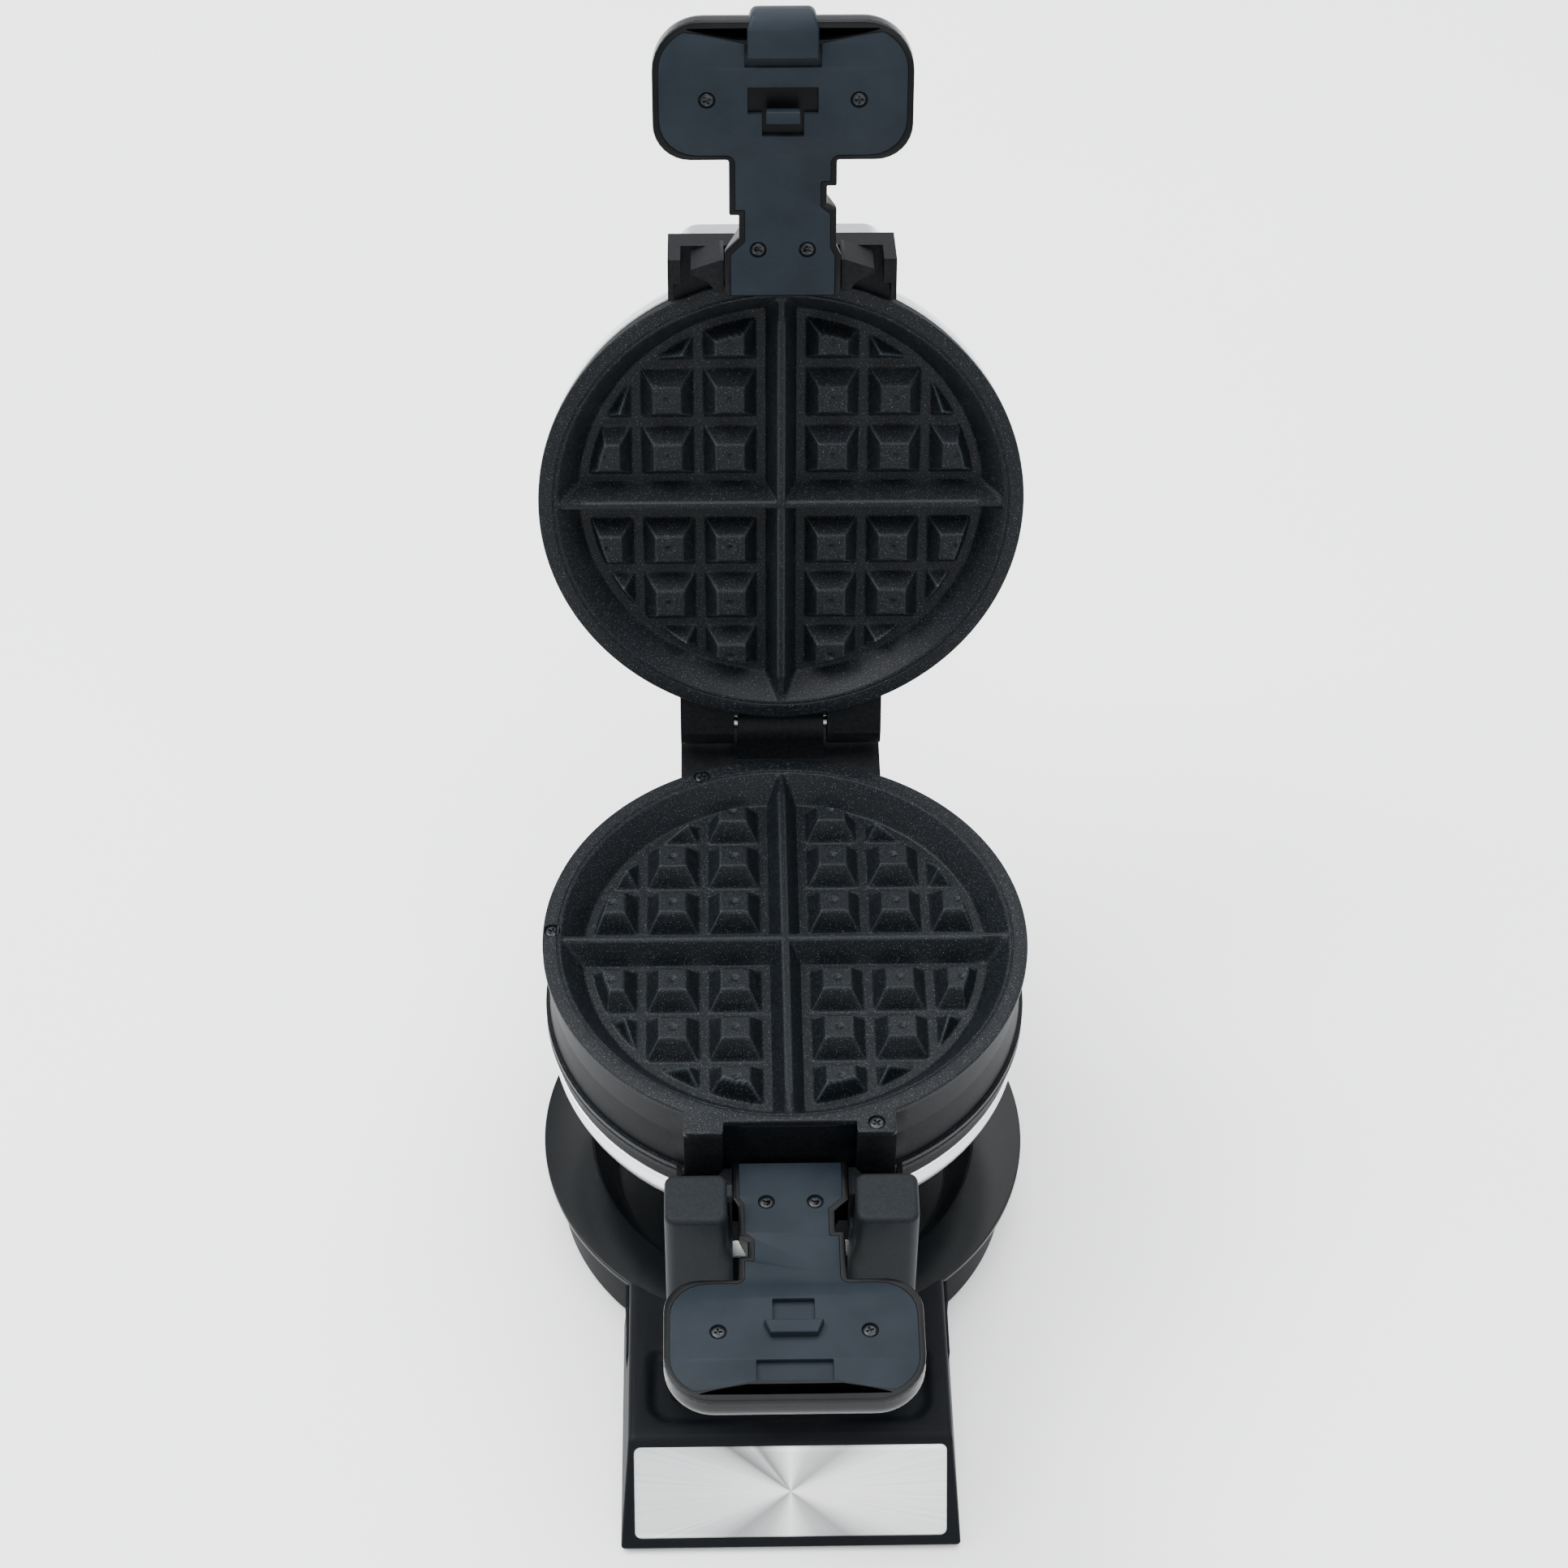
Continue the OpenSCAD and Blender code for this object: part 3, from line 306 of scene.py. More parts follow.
def plate_solid(step, front_lugs):
    """One plate in mm, cooking side up with its rim plane at zero: a square grid
    under the peaks, a stitched seam on the flat floor, turned rings up the
    basin wall, a flat rim with screw recesses, and a turned back."""
    inner_r = grid_r + 1.2
    n = int(inner_r / step)
    gx, gy = np.meshgrid(np.arange(-n, n + 1) * step, np.arange(-n, n + 1) * step, indexing="ij")
    inside = np.hypot(gx, gy) <= inner_r
    cell = inside[:-1, :-1] & inside[1:, :-1] & inside[:-1, 1:] & inside[1:, 1:]
    used = np.zeros(gx.shape, bool)
    for a in (slice(None, -1), slice(1, None)):
        for b in (slice(None, -1), slice(1, None)):
            used[a, b] |= cell
    number = np.cumsum(used).reshape(used.shape) - 1
    i, j = np.nonzero(cell)
    faces = np.stack([number[i, j], number[i + 1, j], number[i + 1, j + 1], number[i, j + 1]], -1).tolist()
    points = [np.stack([gx[used], gy[used], soft_basin(gx[used], gy[used])], -1)]
    outline = plate_outline(front_lugs)
    around = len(outline)
    t = np.linspace(0, 2 * np.pi, around, endpoint=False) + math.atan2(outline[0, 1], outline[0, 0])
    start = len(points[0])
    wall = np.concatenate([[inner_r + 0.8, floor_r - 1.2], np.linspace(floor_r - 0.6, floor_r + 0.6, 4),
                           np.linspace(floor_r + 1.4, rim_in - 1.0, 7),
                           np.linspace(rim_in - 0.5, rim_in + 0.5, 5)])
    groove = [(0.95, 0.0), (1.15, -0.35), (1.45, -0.45), (1.75, -0.35), (1.95, 0.0), (2.3, 0.0)]
    for r in wall:
        x, y = r * np.cos(t), r * np.sin(t)
        points.append(np.stack([x, y, soft_basin(x, y, 0.45)], -1))
    for d, z in groove:
        points.append(np.stack([(rim_in + d) * np.cos(t), (rim_in + d) * np.sin(t), t * 0 + z], -1))
    rows = len(wall) + len(groove)
    faces += grid_faces(rows, around, start)
    top_loop = np.arange(start + (rows - 1) * around, start + rows * around)
    # the rim's rounded edge, its side, and the turned back
    edge = start + rows * around
    shrink = (np.hypot(*outline.T)[:, None] - np.array([0.55, 0.15, 0, 0])) / np.hypot(*outline.T)[:, None]
    for k, z in enumerate((0.0, -0.15, -0.55, -flange_t)):
        points.append(np.column_stack([outline * shrink[:, k:k + 1], np.full(around, z)]))
    faces += grid_faces(4, around, edge)
    under = edge + 4 * around
    for r, z in ((rim_in + 2.3, -flange_t), (floor_r + 2, -plate_back), (40.0, -plate_back),
                 (1.0, -plate_back)):
        points.append(np.stack([r * np.cos(t), r * np.sin(t), t * 0 + z], -1))
    faces += grid_faces(4, around, under)
    faces.append(tuple(range(under + 3 * around, under + 4 * around)))
    # recesses of the rim screws
    count = under + 4 * around
    recesses = []
    if front_lugs:
        for place in rim_screws:
            for radius, z in ((3.45, 0.0), (3.3, -0.2), (3.3, -1.8)):
                points.append(np.column_stack([ring(radius, 32, place), np.full(32, z)]))
            faces += grid_faces(3, 32, count)
            recesses.append(np.arange(count, count + 32))
            faces.append(tuple(range(count + 64, count + 96)))
            count += 96
    points = np.concatenate(points)
    edge_loop = np.arange(edge, edge + around)
    faces += flat_faces(points, [edge_loop, top_loop] + recesses)
    faces += flat_faces(points, [np.arange(edge + 3 * around, edge + 4 * around),
                                 np.arange(under, under + around)])
    # stitch the square grid to the first ring
    seam = points[:, :2][start:start + around]
    border = np.nonzero((np.hypot(points[:start, 0], points[:start, 1]) > inner_r - 2.5 * step))[0]
    flat = np.concatenate([points[border, :2], seam])
    index = np.concatenate([border, np.arange(start, start + around)])
    _, _, triangles, _, _, _ = delaunay_2d_cdt([Vector(p) for p in flat], [], [], 0, 1e-7)
    for triangle in triangles:
        middle = flat[list(triangle)].mean(0)
        a, b = (int(math.floor(v / step)) + n for v in middle)
        if 0 <= a < 2 * n and 0 <= b < 2 * n and cell[a, b] or np.hypot(*middle) < inner_r - 2 * step:
            continue
        faces.append(tuple(int(index[k]) for k in triangle))
    return points, faces


nonstick, coat_nodes, coat_links, coat_shader = finish("nonstick_coat", (0.006, 0.008, 0.010), 0.48,
                                                       specular=0.12)
speck = noise_of(coat_nodes, coat_links, 2300, 2.0)
speck_ramp = tint_by(coat_nodes, coat_links, coat_shader, speck.outputs["Fac"],
                     (0.0028, 0.0036, 0.0046), (0.060, 0.075, 0.086), 0.60, 0.76)
# painted highlight: a point attribute mixes a lighter tone into the coat along the convex edges of peaks, ribs
# and rim
highlight_attribute = coat_nodes.new("ShaderNodeAttribute")
highlight_attribute.attribute_name = "painted_edge_highlight"
highlight_mix = coat_nodes.new("ShaderNodeMix")
highlight_mix.data_type = "RGBA"
highlight_mix.inputs["B"].default_value = (0.030, 0.038, 0.043, 1)
coat_links.new(highlight_attribute.outputs["Fac"], highlight_mix.inputs["Factor"])
coat_links.new(speck_ramp.outputs["Color"], highlight_mix.inputs["A"])
coat_links.new(highlight_mix.outputs["Result"], coat_shader.inputs["Base Color"])
coat_bump = coat_nodes.new("ShaderNodeBump")
coat_bump.inputs["Distance"].default_value = 0.00006
coat_links.new(noise_of(coat_nodes, coat_links, 1500, 2.0).outputs["Fac"], coat_bump.inputs["Height"])
coat_links.new(coat_bump.outputs["Normal"], coat_shader.inputs["Normal"])

for name, place, body, step, lid in (
        ("middle_plate_upper", on_axis, "rotor", 0.62, False), ("upper_plate", opened, "upper_lid", 0.62, True),
        ("middle_plate_lower", on_axis_flipped, "rotor", 1.4, False),
        ("lower_plate", on_axis_flipped, "lower_lid", 1.4, True)):
    points, faces = plate_solid(step, not lid)
    # painted highlight mask: points that stand above the mean height around them (the convex edges) get the
    # lighter tone
    turn = np.linspace(0, 2 * np.pi, 6, endpoint=False)
    around_mean = sum(soft_basin(points[:, 0] + 0.6 * math.cos(a), points[:, 1] + 0.6 * math.sin(a))
                      for a in turn) / 6
    painted_highlight = np.clip((points[:, 2] - around_mean - 0.18) / 0.35, 0, 1) * (points[:, 2] > -basin_depth - 0.1)
    if lid:
        points[:, 2] = lid_rim - points[:, 2]
    else:
        points[:, 2] += half_h
    make(name + "_cast", place(points), faces, body, nonstick, (name,), 50, painted_highlight)

# ---------------------------------------------------------------------------
# Middle housing, lid rings and hinge plates: satin black heat-resistant
# mouldings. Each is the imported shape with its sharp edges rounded.
housing, house_nodes, house_links, house_shader = finish("housing_black", (0.014, 0.015, 0.017), 0.5)
house_grain = noise_of(house_nodes, house_links, 700)
tint_by(house_nodes, house_links, house_shader, house_grain.outputs["Fac"], (0.0026, 0.0030, 0.0036),
        (0.005, 0.0056, 0.0066))
house_bump = house_nodes.new("ShaderNodeBump")
house_bump.inputs["Distance"].default_value = 0.00003
house_links.new(house_grain.outputs["Fac"], house_bump.inputs["Height"])
house_links.new(house_bump.outputs["Normal"], house_shader.inputs["Normal"])


def softened(node, body, material, width=0.6, segments=2, angle=32):
    """A merged copy of a CAD node with its sharp edges rounded by a bevel."""
    mesh = nodes[node].data.copy()
    mesh.name = node + "_soft"
    mesh.materials.clear()
    shell = bmesh.new()
    shell.from_mesh(mesh)
    bmesh.ops.remove_doubles(shell, verts=shell.verts, dist=4e-6)
    bmesh.ops.dissolve_limit(shell, angle_limit=math.radians(0.5), verts=shell.verts, edges=shell.edges)
    shell.to_mesh(mesh)
    shell.free()
    mesh.polygons.foreach_set("use_smooth", np.ones(len(mesh.polygons), bool))
    mesh.set_sharp_from_angle(angle=math.radians(40))
    mesh.materials.append(material)
    piece = bpy.data.objects.new(node + "_soft", mesh)
    scene.collection.objects.link(piece)
    bevel = piece.modifiers.new("soft_edge", "BEVEL")
    bevel.width = width * mm
    bevel.segments = segments
    bevel.limit_method = "ANGLE"
    bevel.angle_limit = math.radians(angle)
    bevel.harden_normals = True
    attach(piece, body)
    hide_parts(node)
    return piece


for node, body in (("middle_shell_upper", "rotor"), ("middle_shell_lower", "rotor"),
                   ("upper_ring", "upper_lid"), ("lower_ring", "lower_lid"),
                   ("upper_hinge_plate", "upper_lid"), ("lower_hinge_plate", "lower_lid")):
    softened(node, body, housing)

# ---------------------------------------------------------------------------
# Lid covers: domed stainless sheet with a rolled lip, satin brushed, and a
# squared nose that runs forward over the root of the handle.
steel, steel_nodes, steel_links, steel_shader = finish("satin_steel", (0.80, 0.82, 0.825), 0.26, metal=1.0)
steel_brush = noise_of(steel_nodes, steel_links, 50, 2.0, (1, 1, 30))
tint_by(steel_nodes, steel_links, steel_shader, steel_brush.outputs["Fac"], (0.74, 0.76, 0.77),
        (0.84, 0.855, 0.86))
steel_bump = steel_nodes.new("ShaderNodeBump")
steel_bump.inputs["Distance"].default_value = 0.00001
steel_links.new(steel_brush.outputs["Fac"], steel_bump.inputs["Height"])
steel_links.new(steel_bump.outputs["Normal"], steel_shader.inputs["Normal"])
cover_r, cover_low, cover_top, cover_round = plate_r - 1.1, lid_rim + 9.7, half_h + 40.0, 26.0
nose_half, nose_front, nose_low = 41.0, plate_r + 12.0, lid_rim + 15.7


def arc(cx, cy, r, start, end, steps):
    """Points in mm on a circle from one angle in degrees to another."""
    t = np.radians(np.linspace(start, end, steps))
    return np.stack([cx + r * np.cos(t), cy + r * np.sin(t)], -1)


def turned(profile, count):
    """Closed solid of a profile (radius, height) in mm turned about Z; the
    profile's last point joins its first: x = r cos t, y = r sin t."""
    t = np.linspace(0, 2 * np.pi, count, endpoint=False)
    loop = np.concatenate([profile, profile[:1]])
    points = np.stack([loop[:, :1] * np.cos(t), loop[:, :1] * np.sin(t), loop[:, 1:] + t * 0], -1)
    return points.reshape(-1, 3), grid_faces(len(loop), count)


def inset(outline, distance):
    """An outline with every side moved inward by a distance in mm."""
    side = np.roll(outline, -1, 0) - outline
    side = side / (np.linalg.norm(side, axis=1)[:, None] + 1e-12)
    inward = np.stack([-side[:, 1], side[:, 0]], -1)
    before = np.roll(inward, 1, 0)
    reach = 1 + (inward * before).sum(1)[:, None]
    return outline + (inward + before) / np.maximum(reach, 0.35) * distance


def slab(outline, levels, holes=()):
    """Closed solid in mm: a profile of (inset, height) levels carried round the
    outline, from one flat face to the other, with holes of (outline, levels)
    that start in the first face and end in the other one or in a floor."""
    def carried(shape, steps):
        return [np.column_stack([inset(shape, d), np.full(len(shape), z)]) for d, z in steps]
    points, count = carried(outline, levels), len(outline)
    faces = grid_faces(len(levels), count)
    near, far, start = [np.arange(count)], [np.arange(count) + (len(levels) - 1) * count], len(levels) * count
    floors = []
    for shape, steps in holes:
        points += carried(shape, steps)
        faces += grid_faces(len(steps), len(shape), start)
        near.append(np.arange(start, start + len(shape)))
        last = np.arange(len(shape)) + start + (len(steps) - 1) * len(shape)
        start += len(steps) * len(shape)
        if abs(steps[-1][1] - levels[-1][1]) < 1e-6:
            far.append(last)
        else:
            floors.append([last])
    points = np.concatenate(points)
    for loops in [near, far] + floors:
        faces += flat_faces(points, loops)
    return points, faces


def joined(*solids):
    """Several solids as one set of points and faces."""
    points, faces, start = [], [], 0
    for part_points, part_faces in solids:
        points.append(np.asarray(part_points, float).reshape(-1, 3))
        faces += [tuple(k + start for k in face) for face in part_faces]
        start += len(points[-1])
    return np.concatenate(points), faces


dome = np.concatenate([
    [[cover_r - 0.6, cover_low], [cover_r - 0.15, cover_low + 0.15], [cover_r, cover_low + 0.6],
     [cover_r, cover_low + 1.5], [cover_r - 0.3, cover_low + 2.1]],
    arc(cover_r - cover_round, cover_top - cover_round, cover_round - 0.3, 0, 90, 24),
    [[35.0, cover_top - 0.3], [0.0, cover_top - 0.3], [0.0, cover_top - 1.3], [35.0, cover_top - 1.3]],
    arc(cover_r - cover_round, cover_top - cover_round, cover_round - 1.3, 90, 0, 24),
    [[cover_r - 1.4, cover_low]]])
nose = slab(rounded([(nose_half, -30, 0), (-nose_half, -30, 0), (-nose_half, -nose_front, 9),
                     (nose_half, -nose_front, 9)]),
            [(0, nose_low)] + [(5 - 5 * math.cos(a), cover_top - 13 + 5 * math.sin(a))
                               for a in np.radians(np.linspace(0, 90, 8))])
for name, place, body in (("upper_cover", opened, "upper_lid"), ("lower_cover", on_axis_flipped, "lower_lid")):
    points, faces = joined(turned(dome, 320), nose)
    make(name + "_pressed", place(points), faces, body, steel, (name,), 30)

# ---------------------------------------------------------------------------
# Handle shells: glossy black mouldings with a half-round neck and a broad head.
# A thin rim stands round the handle plate, and a finger scoop dips its front.
gloss, gloss_nodes, gloss_links, gloss_shader = finish("handle_gloss", (0.008, 0.009, 0.011), 0.26,
                                                       specular=0.10)
gloss_wave = noise_of(gloss_nodes, gloss_links, 90, 2.0)
tint_by(gloss_nodes, gloss_links, gloss_shader, gloss_wave.outputs["Fac"], (0.0015, 0.0018, 0.0022),
        (0.0026, 0.0031, 0.0037))
gloss_bump = gloss_nodes.new("ShaderNodeBump")
gloss_bump.inputs["Distance"].default_value = 0.00004
gloss_links.new(gloss_wave.outputs["Fac"], gloss_bump.inputs["Height"])
gloss_links.new(gloss_bump.outputs["Normal"], gloss_shader.inputs["Normal"])
handle_reach, head_half, head_back, neck_half, root_half = 207.5, 48.8, 154.0, 20.4, 22.2
rim_w, seat_z, head_depth, mid_gap = 2.2, 2.7, 17.0, 0.15


def neck_corners(rim):
    """Corners (x, y, radius) of the neck, rim mm inside the shell's edge, for a
    handle with its near notch on the left and its far notch on the right:
    left side going forward, and right side going back."""
    n, w, q = neck_half - rim, root_half - rim, 16.7 - rim
    out, into, root = 0.4 + 0.2 * rim, 0.8 - 0.2 * rim, -99.0 - 0.2 * rim
    left = [(-w, root, 0.4), (-w, -117.2 + 0.5 * rim, 1.0), (-q, -122.6 + 0.5 * rim, out),
            (-q, -132.0 - 0.9 * rim, out), (-n, -132.0 - 0.9 * rim, into)]
    right = [(n, -143.6 - 0.8 * rim, into), (q, -143.6 - 0.8 * rim, out), (q, -136.5 + 0.5 * rim, out),
             (n, -134.4 + 0.9 * rim, into), (n, -119.9 + 0.4 * rim, 1.0), (w, -116.0 + 0.3 * rim, 1.0),
             (w, root, 0.4)]
    return left, right


def shell_outline(rim):
    """The T outline of the handle with a straight front edge."""
    left, right = neck_corners(rim)
    back, h, corner = -head_back - 0.8 * rim, head_half - rim, 19 - rim
    front = rim - handle_reach
    return rounded(left + [(-neck_half + rim, back, 1 + rim), (-h, back, corner), (-h, front, corner),
                           (h, front, corner), (h, back, corner), (neck_half - rim, back, 1 + rim)] + right, 9)


def plate_edge(rim, pocket):
    """The T outline of the handle plate: its front edge is hollowed in a curve
    on both sides of the middle, and cut back there for the pocket."""
    left, right = neck_corners(rim)
    back, h, corner = -head_back - 0.8 * rim, head_half - rim, 19 - rim
    front = rim - handle_reach
    bend = arc(-h + corner, front + corner, corner, 182, 244, 12)
    u = np.linspace(0, 1, 9)[1:, None]
    control, end = np.array([-29.5, -202.9]), np.array([-15.2, -199.3])
    hollow = (1 - u) ** 2 * bend[-1] + 2 * u * (1 - u) * control + u ** 2 * end
    side = [(x, y, 0) for x, y in np.concatenate([bend, hollow])]
    middle = [(-14.3, -199.2, 0.3), (-14.3, -pocket, 0.5), (14.3, -pocket, 0.5), (14.3, -199.2, 0.3)]
    mirrored = [(-x, y, 0) for x, y, _ in side[::-1]]
    return rounded(left + [(-neck_half + rim, back, 1 + rim), (-h, back, corner)] + side + middle + mirrored
                   + [(h, back, corner), (neck_half - rim, back, 1 + rim)] + right, 7)


def cushion(outline, top, height, spacing):
    """Closed solid in mm between the flat level top and the surface z = height(x, y)
    over an outline, filled with a triangle net of the given spacing."""
    low, high = outline.min(0), outline.max(0)
    gx, gy = np.meshgrid(np.arange(low[0], high[0], spacing), np.arange(low[1], high[1], spacing),
                         indexing="ij")
    grid = np.column_stack([gx.ravel(), gy.ravel()])
    ahead = np.roll(outline, -1, 0)
    crossing = ((outline[:, 1] > grid[:, 1:]) != (ahead[:, 1] > grid[:, 1:])) & (
        grid[:, :1] < (ahead[:, 0] - outline[:, 0]) * (grid[:, 1:] - outline[:, 1])
        / (ahead[:, 1] - outline[:, 1] + 1e-12) + outline[:, 0])
    side = ahead - outline
    along = ((grid[:, None] - outline) * side).sum(-1) / ((side ** 2).sum(-1) + 1e-12)
    nearest = outline + side * np.clip(along, 0, 1)[..., None]
    clear = np.linalg.norm(grid[:, None] - nearest, axis=-1).min(1) > 0.3 * spacing
    flat = np.concatenate([outline, grid[(crossing.sum(1) % 2 == 1) & clear]])
    count = len(outline)
    net = delaunay_2d_cdt([Vector(p) for p in flat], [(k, (k + 1) % count) for k in range(count)],
                          [list(range(count))], 1, 1e-6)
    flat = np.array([(p[0], p[1]) for p in net[0]])
    origin = {source: new for new, sources in enumerate(net[3]) for source in sources}
    loop = [origin[k] for k in range(count)]
    total = len(flat)
    points = np.concatenate([np.column_stack([flat, np.full(total, top)]),
                             np.column_stack([flat, height(flat[:, 0], flat[:, 1])])])
    faces = [tuple(f) for f in net[2]] + [tuple(k + total for k in f[::-1]) for f in net[2]]
    faces += [(a, b, b + total, a + total) for a, b in zip(loop, loop[1:] + loop[:1])]
    return points, faces


u = np.linspace(0, 1, 25)
scoop_back = np.concatenate([[(-35.5, -204.6)], np.column_stack([-33 + 17.5 * u[1::4],
                                                                 -203.9 + 3.7 * u[1::4] ** 0.8])])
scoop = np.concatenate([np.column_stack([np.linspace(-35.5, 35.5, 40),
                                         -205.2 + 0.2 * np.linspace(-1, 1, 40) ** 2]),
                        np.column_stack([-scoop_back[:, 0], scoop_back[:, 1]]), scoop_back[::-1]])
rim_part = slab(shell_outline(0), [(0.5, mid_gap), (0.15, mid_gap + 0.15), (0, mid_gap + 0.5),
                                   (0, seat_z + 0.1)],
                [(plate_edge(rim_w, 199.0), [(0, mid_gap), (0, seat_z + 0.1)]),
                 (scoop, [(0, mid_gap), (0, seat_z + 0.1)])])
head_outline = rounded([(-head_half, -head_back, 19), (-head_half, -handle_reach, 19),
                        (head_half, -handle_reach, 19), (head_half, -head_back, 19)], 14)
head_round = [(10 - 10 * math.cos(a), head_depth - 10 + 10 * math.sin(a))
              for a in np.radians(np.linspace(0, 90, 12))]
head_part = slab(head_outline, [(0, seat_z), (0, 5.0)] + head_round, [(scoop, [(0, seat_z), (0.2, 11.0)])])
left, right = neck_corners(0)
neck_part = cushion(rounded(left + [(-neck_half, -160, 0), (neck_half, -160, 0)] + right, 7), seat_z,
                    lambda x, y: np.maximum(np.sqrt(np.maximum(neck_half ** 2 - x ** 2, 0)), seat_z + 0.3), 1.6)
points, faces = joined(rim_part, head_part, neck_part)
for name, place, body in (("upper_handle_shell", opened, "upper_lid"),
                          ("lower_handle_shell", on_axis_flipped, "lower_lid")):
    make(name + "_moulded", place(points), faces, body, gloss, (name,), 38)

# ---------------------------------------------------------------------------
# Handle plates: satin navy-black mouldings that close the handles, each held by
# four screws. The upper one has the hole for the hook, the lower one the catch.
navy, navy_nodes, navy_links, navy_shader = finish("handle_navy", (0.030, 0.038, 0.050), 0.40)
navy_grain = noise_of(navy_nodes, navy_links, 1400, 2.0)
tint_by(navy_nodes, navy_links, navy_shader, noise_of(navy_nodes, navy_links, 40).outputs["Fac"],
        (0.0075, 0.0108, 0.0145), (0.0105, 0.0145, 0.019))
navy_bump = navy_nodes.new("ShaderNodeBump")
navy_bump.inputs["Distance"].default_value = 0.00003
navy_links.new(navy_grain.outputs["Fac"], navy_bump.inputs["Height"])
navy_links.new(navy_bump.outputs["Normal"], navy_shader.inputs["Normal"])
handle_screws = [(s * x, -y) for s in (-1, 1) for x, y in ((9.4, 118.0), (28.4, 177.4))]
plate_levels = [(0.30, mid_gap), (0.08, mid_gap + 0.1), (0, mid_gap + 0.35), (0, seat_z - 0.05)]
counterbores = [(ring(3.35, 32, p)[::-1], [(0, mid_gap), (-0.1, mid_gap + 0.2),
                                           (-0.1, mid_gap + 1.75)]) for p in handle_screws]


def box(x, y, z, edge=0.3):
    """A block between two corners with softened edges, as one closed solid."""
    steps = [(edge, z[0]), (0, z[0] + edge), (0, z[1] - edge), (edge, z[1])]
    return slab(rounded([(x[0], y[0], edge), (x[1], y[0], edge), (x[1], y[1], edge), (x[0], y[1], edge)], 4),
                steps)


hook_hole = rounded([(-7.8, -163.4, 0.4), (-7.8, -172, 0.3), (-13.2, -172, 0.4), (-13.2, -182.4, 0.4),
                     (13.2, -182.4, 0.4), (13.2, -172, 0.4), (7.8, -172, 0.3), (7.8, -163.4, 0.4)], 4)
upper_holes = counterbores + [(hook_hole[::-1], [(0.1, mid_gap), (0, mid_gap + 0.2), (0, seat_z - 0.05)])]
well = slab(inset(hook_hole, -0.8), [(0, seat_z - 0.1), (0, 9.0)], [(hook_hole, [(0, seat_z - 0.1), (0, 8.2)])])
pocket = slab(rounded([(-14.3, -199.6, 0.5), (14.3, -199.6, 0.5), (14.3, -189.6, 0.5), (-14.3, -189.6, 0.5)],
                      4),
              [(0, 2.2), (0, 3.6)])
points, faces = joined(slab(plate_edge(rim_w + 0.12, 190.0), plate_levels, upper_holes), pocket, well)
make("upper_handle_plate_moulded", opened(points), faces, "upper_lid", navy,
     ("upper_handle_plate",), 30)

catch_hole = rounded([(-7.9, -162.9, 0.4), (-7.9, -172.3, 0.3), (-9.8, -172.3, 0.3), (-9.8, -174.6, 0.3),
                      (9.8, -174.6, 0.3), (9.8, -172.3, 0.3), (7.9, -172.3, 0.3), (7.9, -162.9, 0.4)], 4)
lower_holes = counterbores + [(catch_hole[::-1], [(0.1, mid_gap), (0, mid_gap + 0.2), (0, seat_z - 0.05)])]
catch_floor = slab(inset(catch_hole, -0.6), [(0, 2.4), (0, 4.4)])
lug_shape = rounded([(-11.4, -174.0, 0.3), (-8.8, -180.0, 0.3), (8.8, -180.0, 0.3), (11.4, -174.0, 0.3)], 4)
lug = slab(inset(lug_shape, 0.05), [(0.4, -2.9), (0.1, -2.7), (0, -2.2), (-0.2, 0.5)])
points, faces = joined(slab(plate_edge(rim_w + 0.12, 190.0), plate_levels, lower_holes), pocket, catch_floor,
                       lug)
make("lower_handle_plate_moulded", on_axis_flipped(points), faces, "lower_lid", navy,
     ("lower_handle_plate",), 30)

# ---------------------------------------------------------------------------
# Latch: a thumb button let into the head of the upper handle, one moulding with
# the arm and the hook that catches the lug of the lower handle.
button_outline = rounded([(-13.3, -193.8, 0.6), (-13.3, -205.0, 2.0), (-11.6, -210.6, 3.0), (11.6, -210.6, 3.0),
                          (13.3, -205.0, 2.0), (13.3, -193.8, 0.6)], 7)
button = slab(button_outline, [(1.2, -2.2), (0.4, -1.9), (0, -1.2), (0, 9.5), (1.0, 11.8), (3.0, 12.6)])
button[0][:, 2] += np.clip((-button[0][:, 1] - 203) / 7.6, 0, 1) ** 2 * 4.0 * (button[0][:, 2] < 3)
arm = box((-6.2, 6.2), (-195.0, -171.0), (6.2, 9.8))
stem = box((-6.3, 6.3), (-173.4, -170.4), (-6.4, 8.0))
tongue = slab(rounded([(-175.2, -6.5, 0.5), (-170.5, -6.5, 0.3), (-170.5, -3.3, 0.2), (-175.2, -3.3, 0.4)], 4),
              [(0.2, -6.3), (0, -6.1), (0, 6.1), (0.2, 6.3)])
tongue = (tongue[0][:, [2, 0, 1]], tongue[1])
points, faces = joined(button, arm, stem, tongue)
make("latch_button_moulded", opened(points), faces, "latch", navy, ("latch_button",), 32)

# ---------------------------------------------------------------------------
# Screws: small black oxide pan heads with a cross recess, in the rim of the
# middle plates, the handle plates and the hinge plates.
oxide, oxide_nodes, oxide_links, oxide_shader = finish("black_oxide", (0.02, 0.021, 0.023), 0.3, metal=0.6)
tint_by(oxide_nodes, oxide_links, oxide_shader, noise_of(oxide_nodes, oxide_links, 900).outputs["Fac"],
        (0.014, 0.015, 0.017), (0.035, 0.037, 0.040))


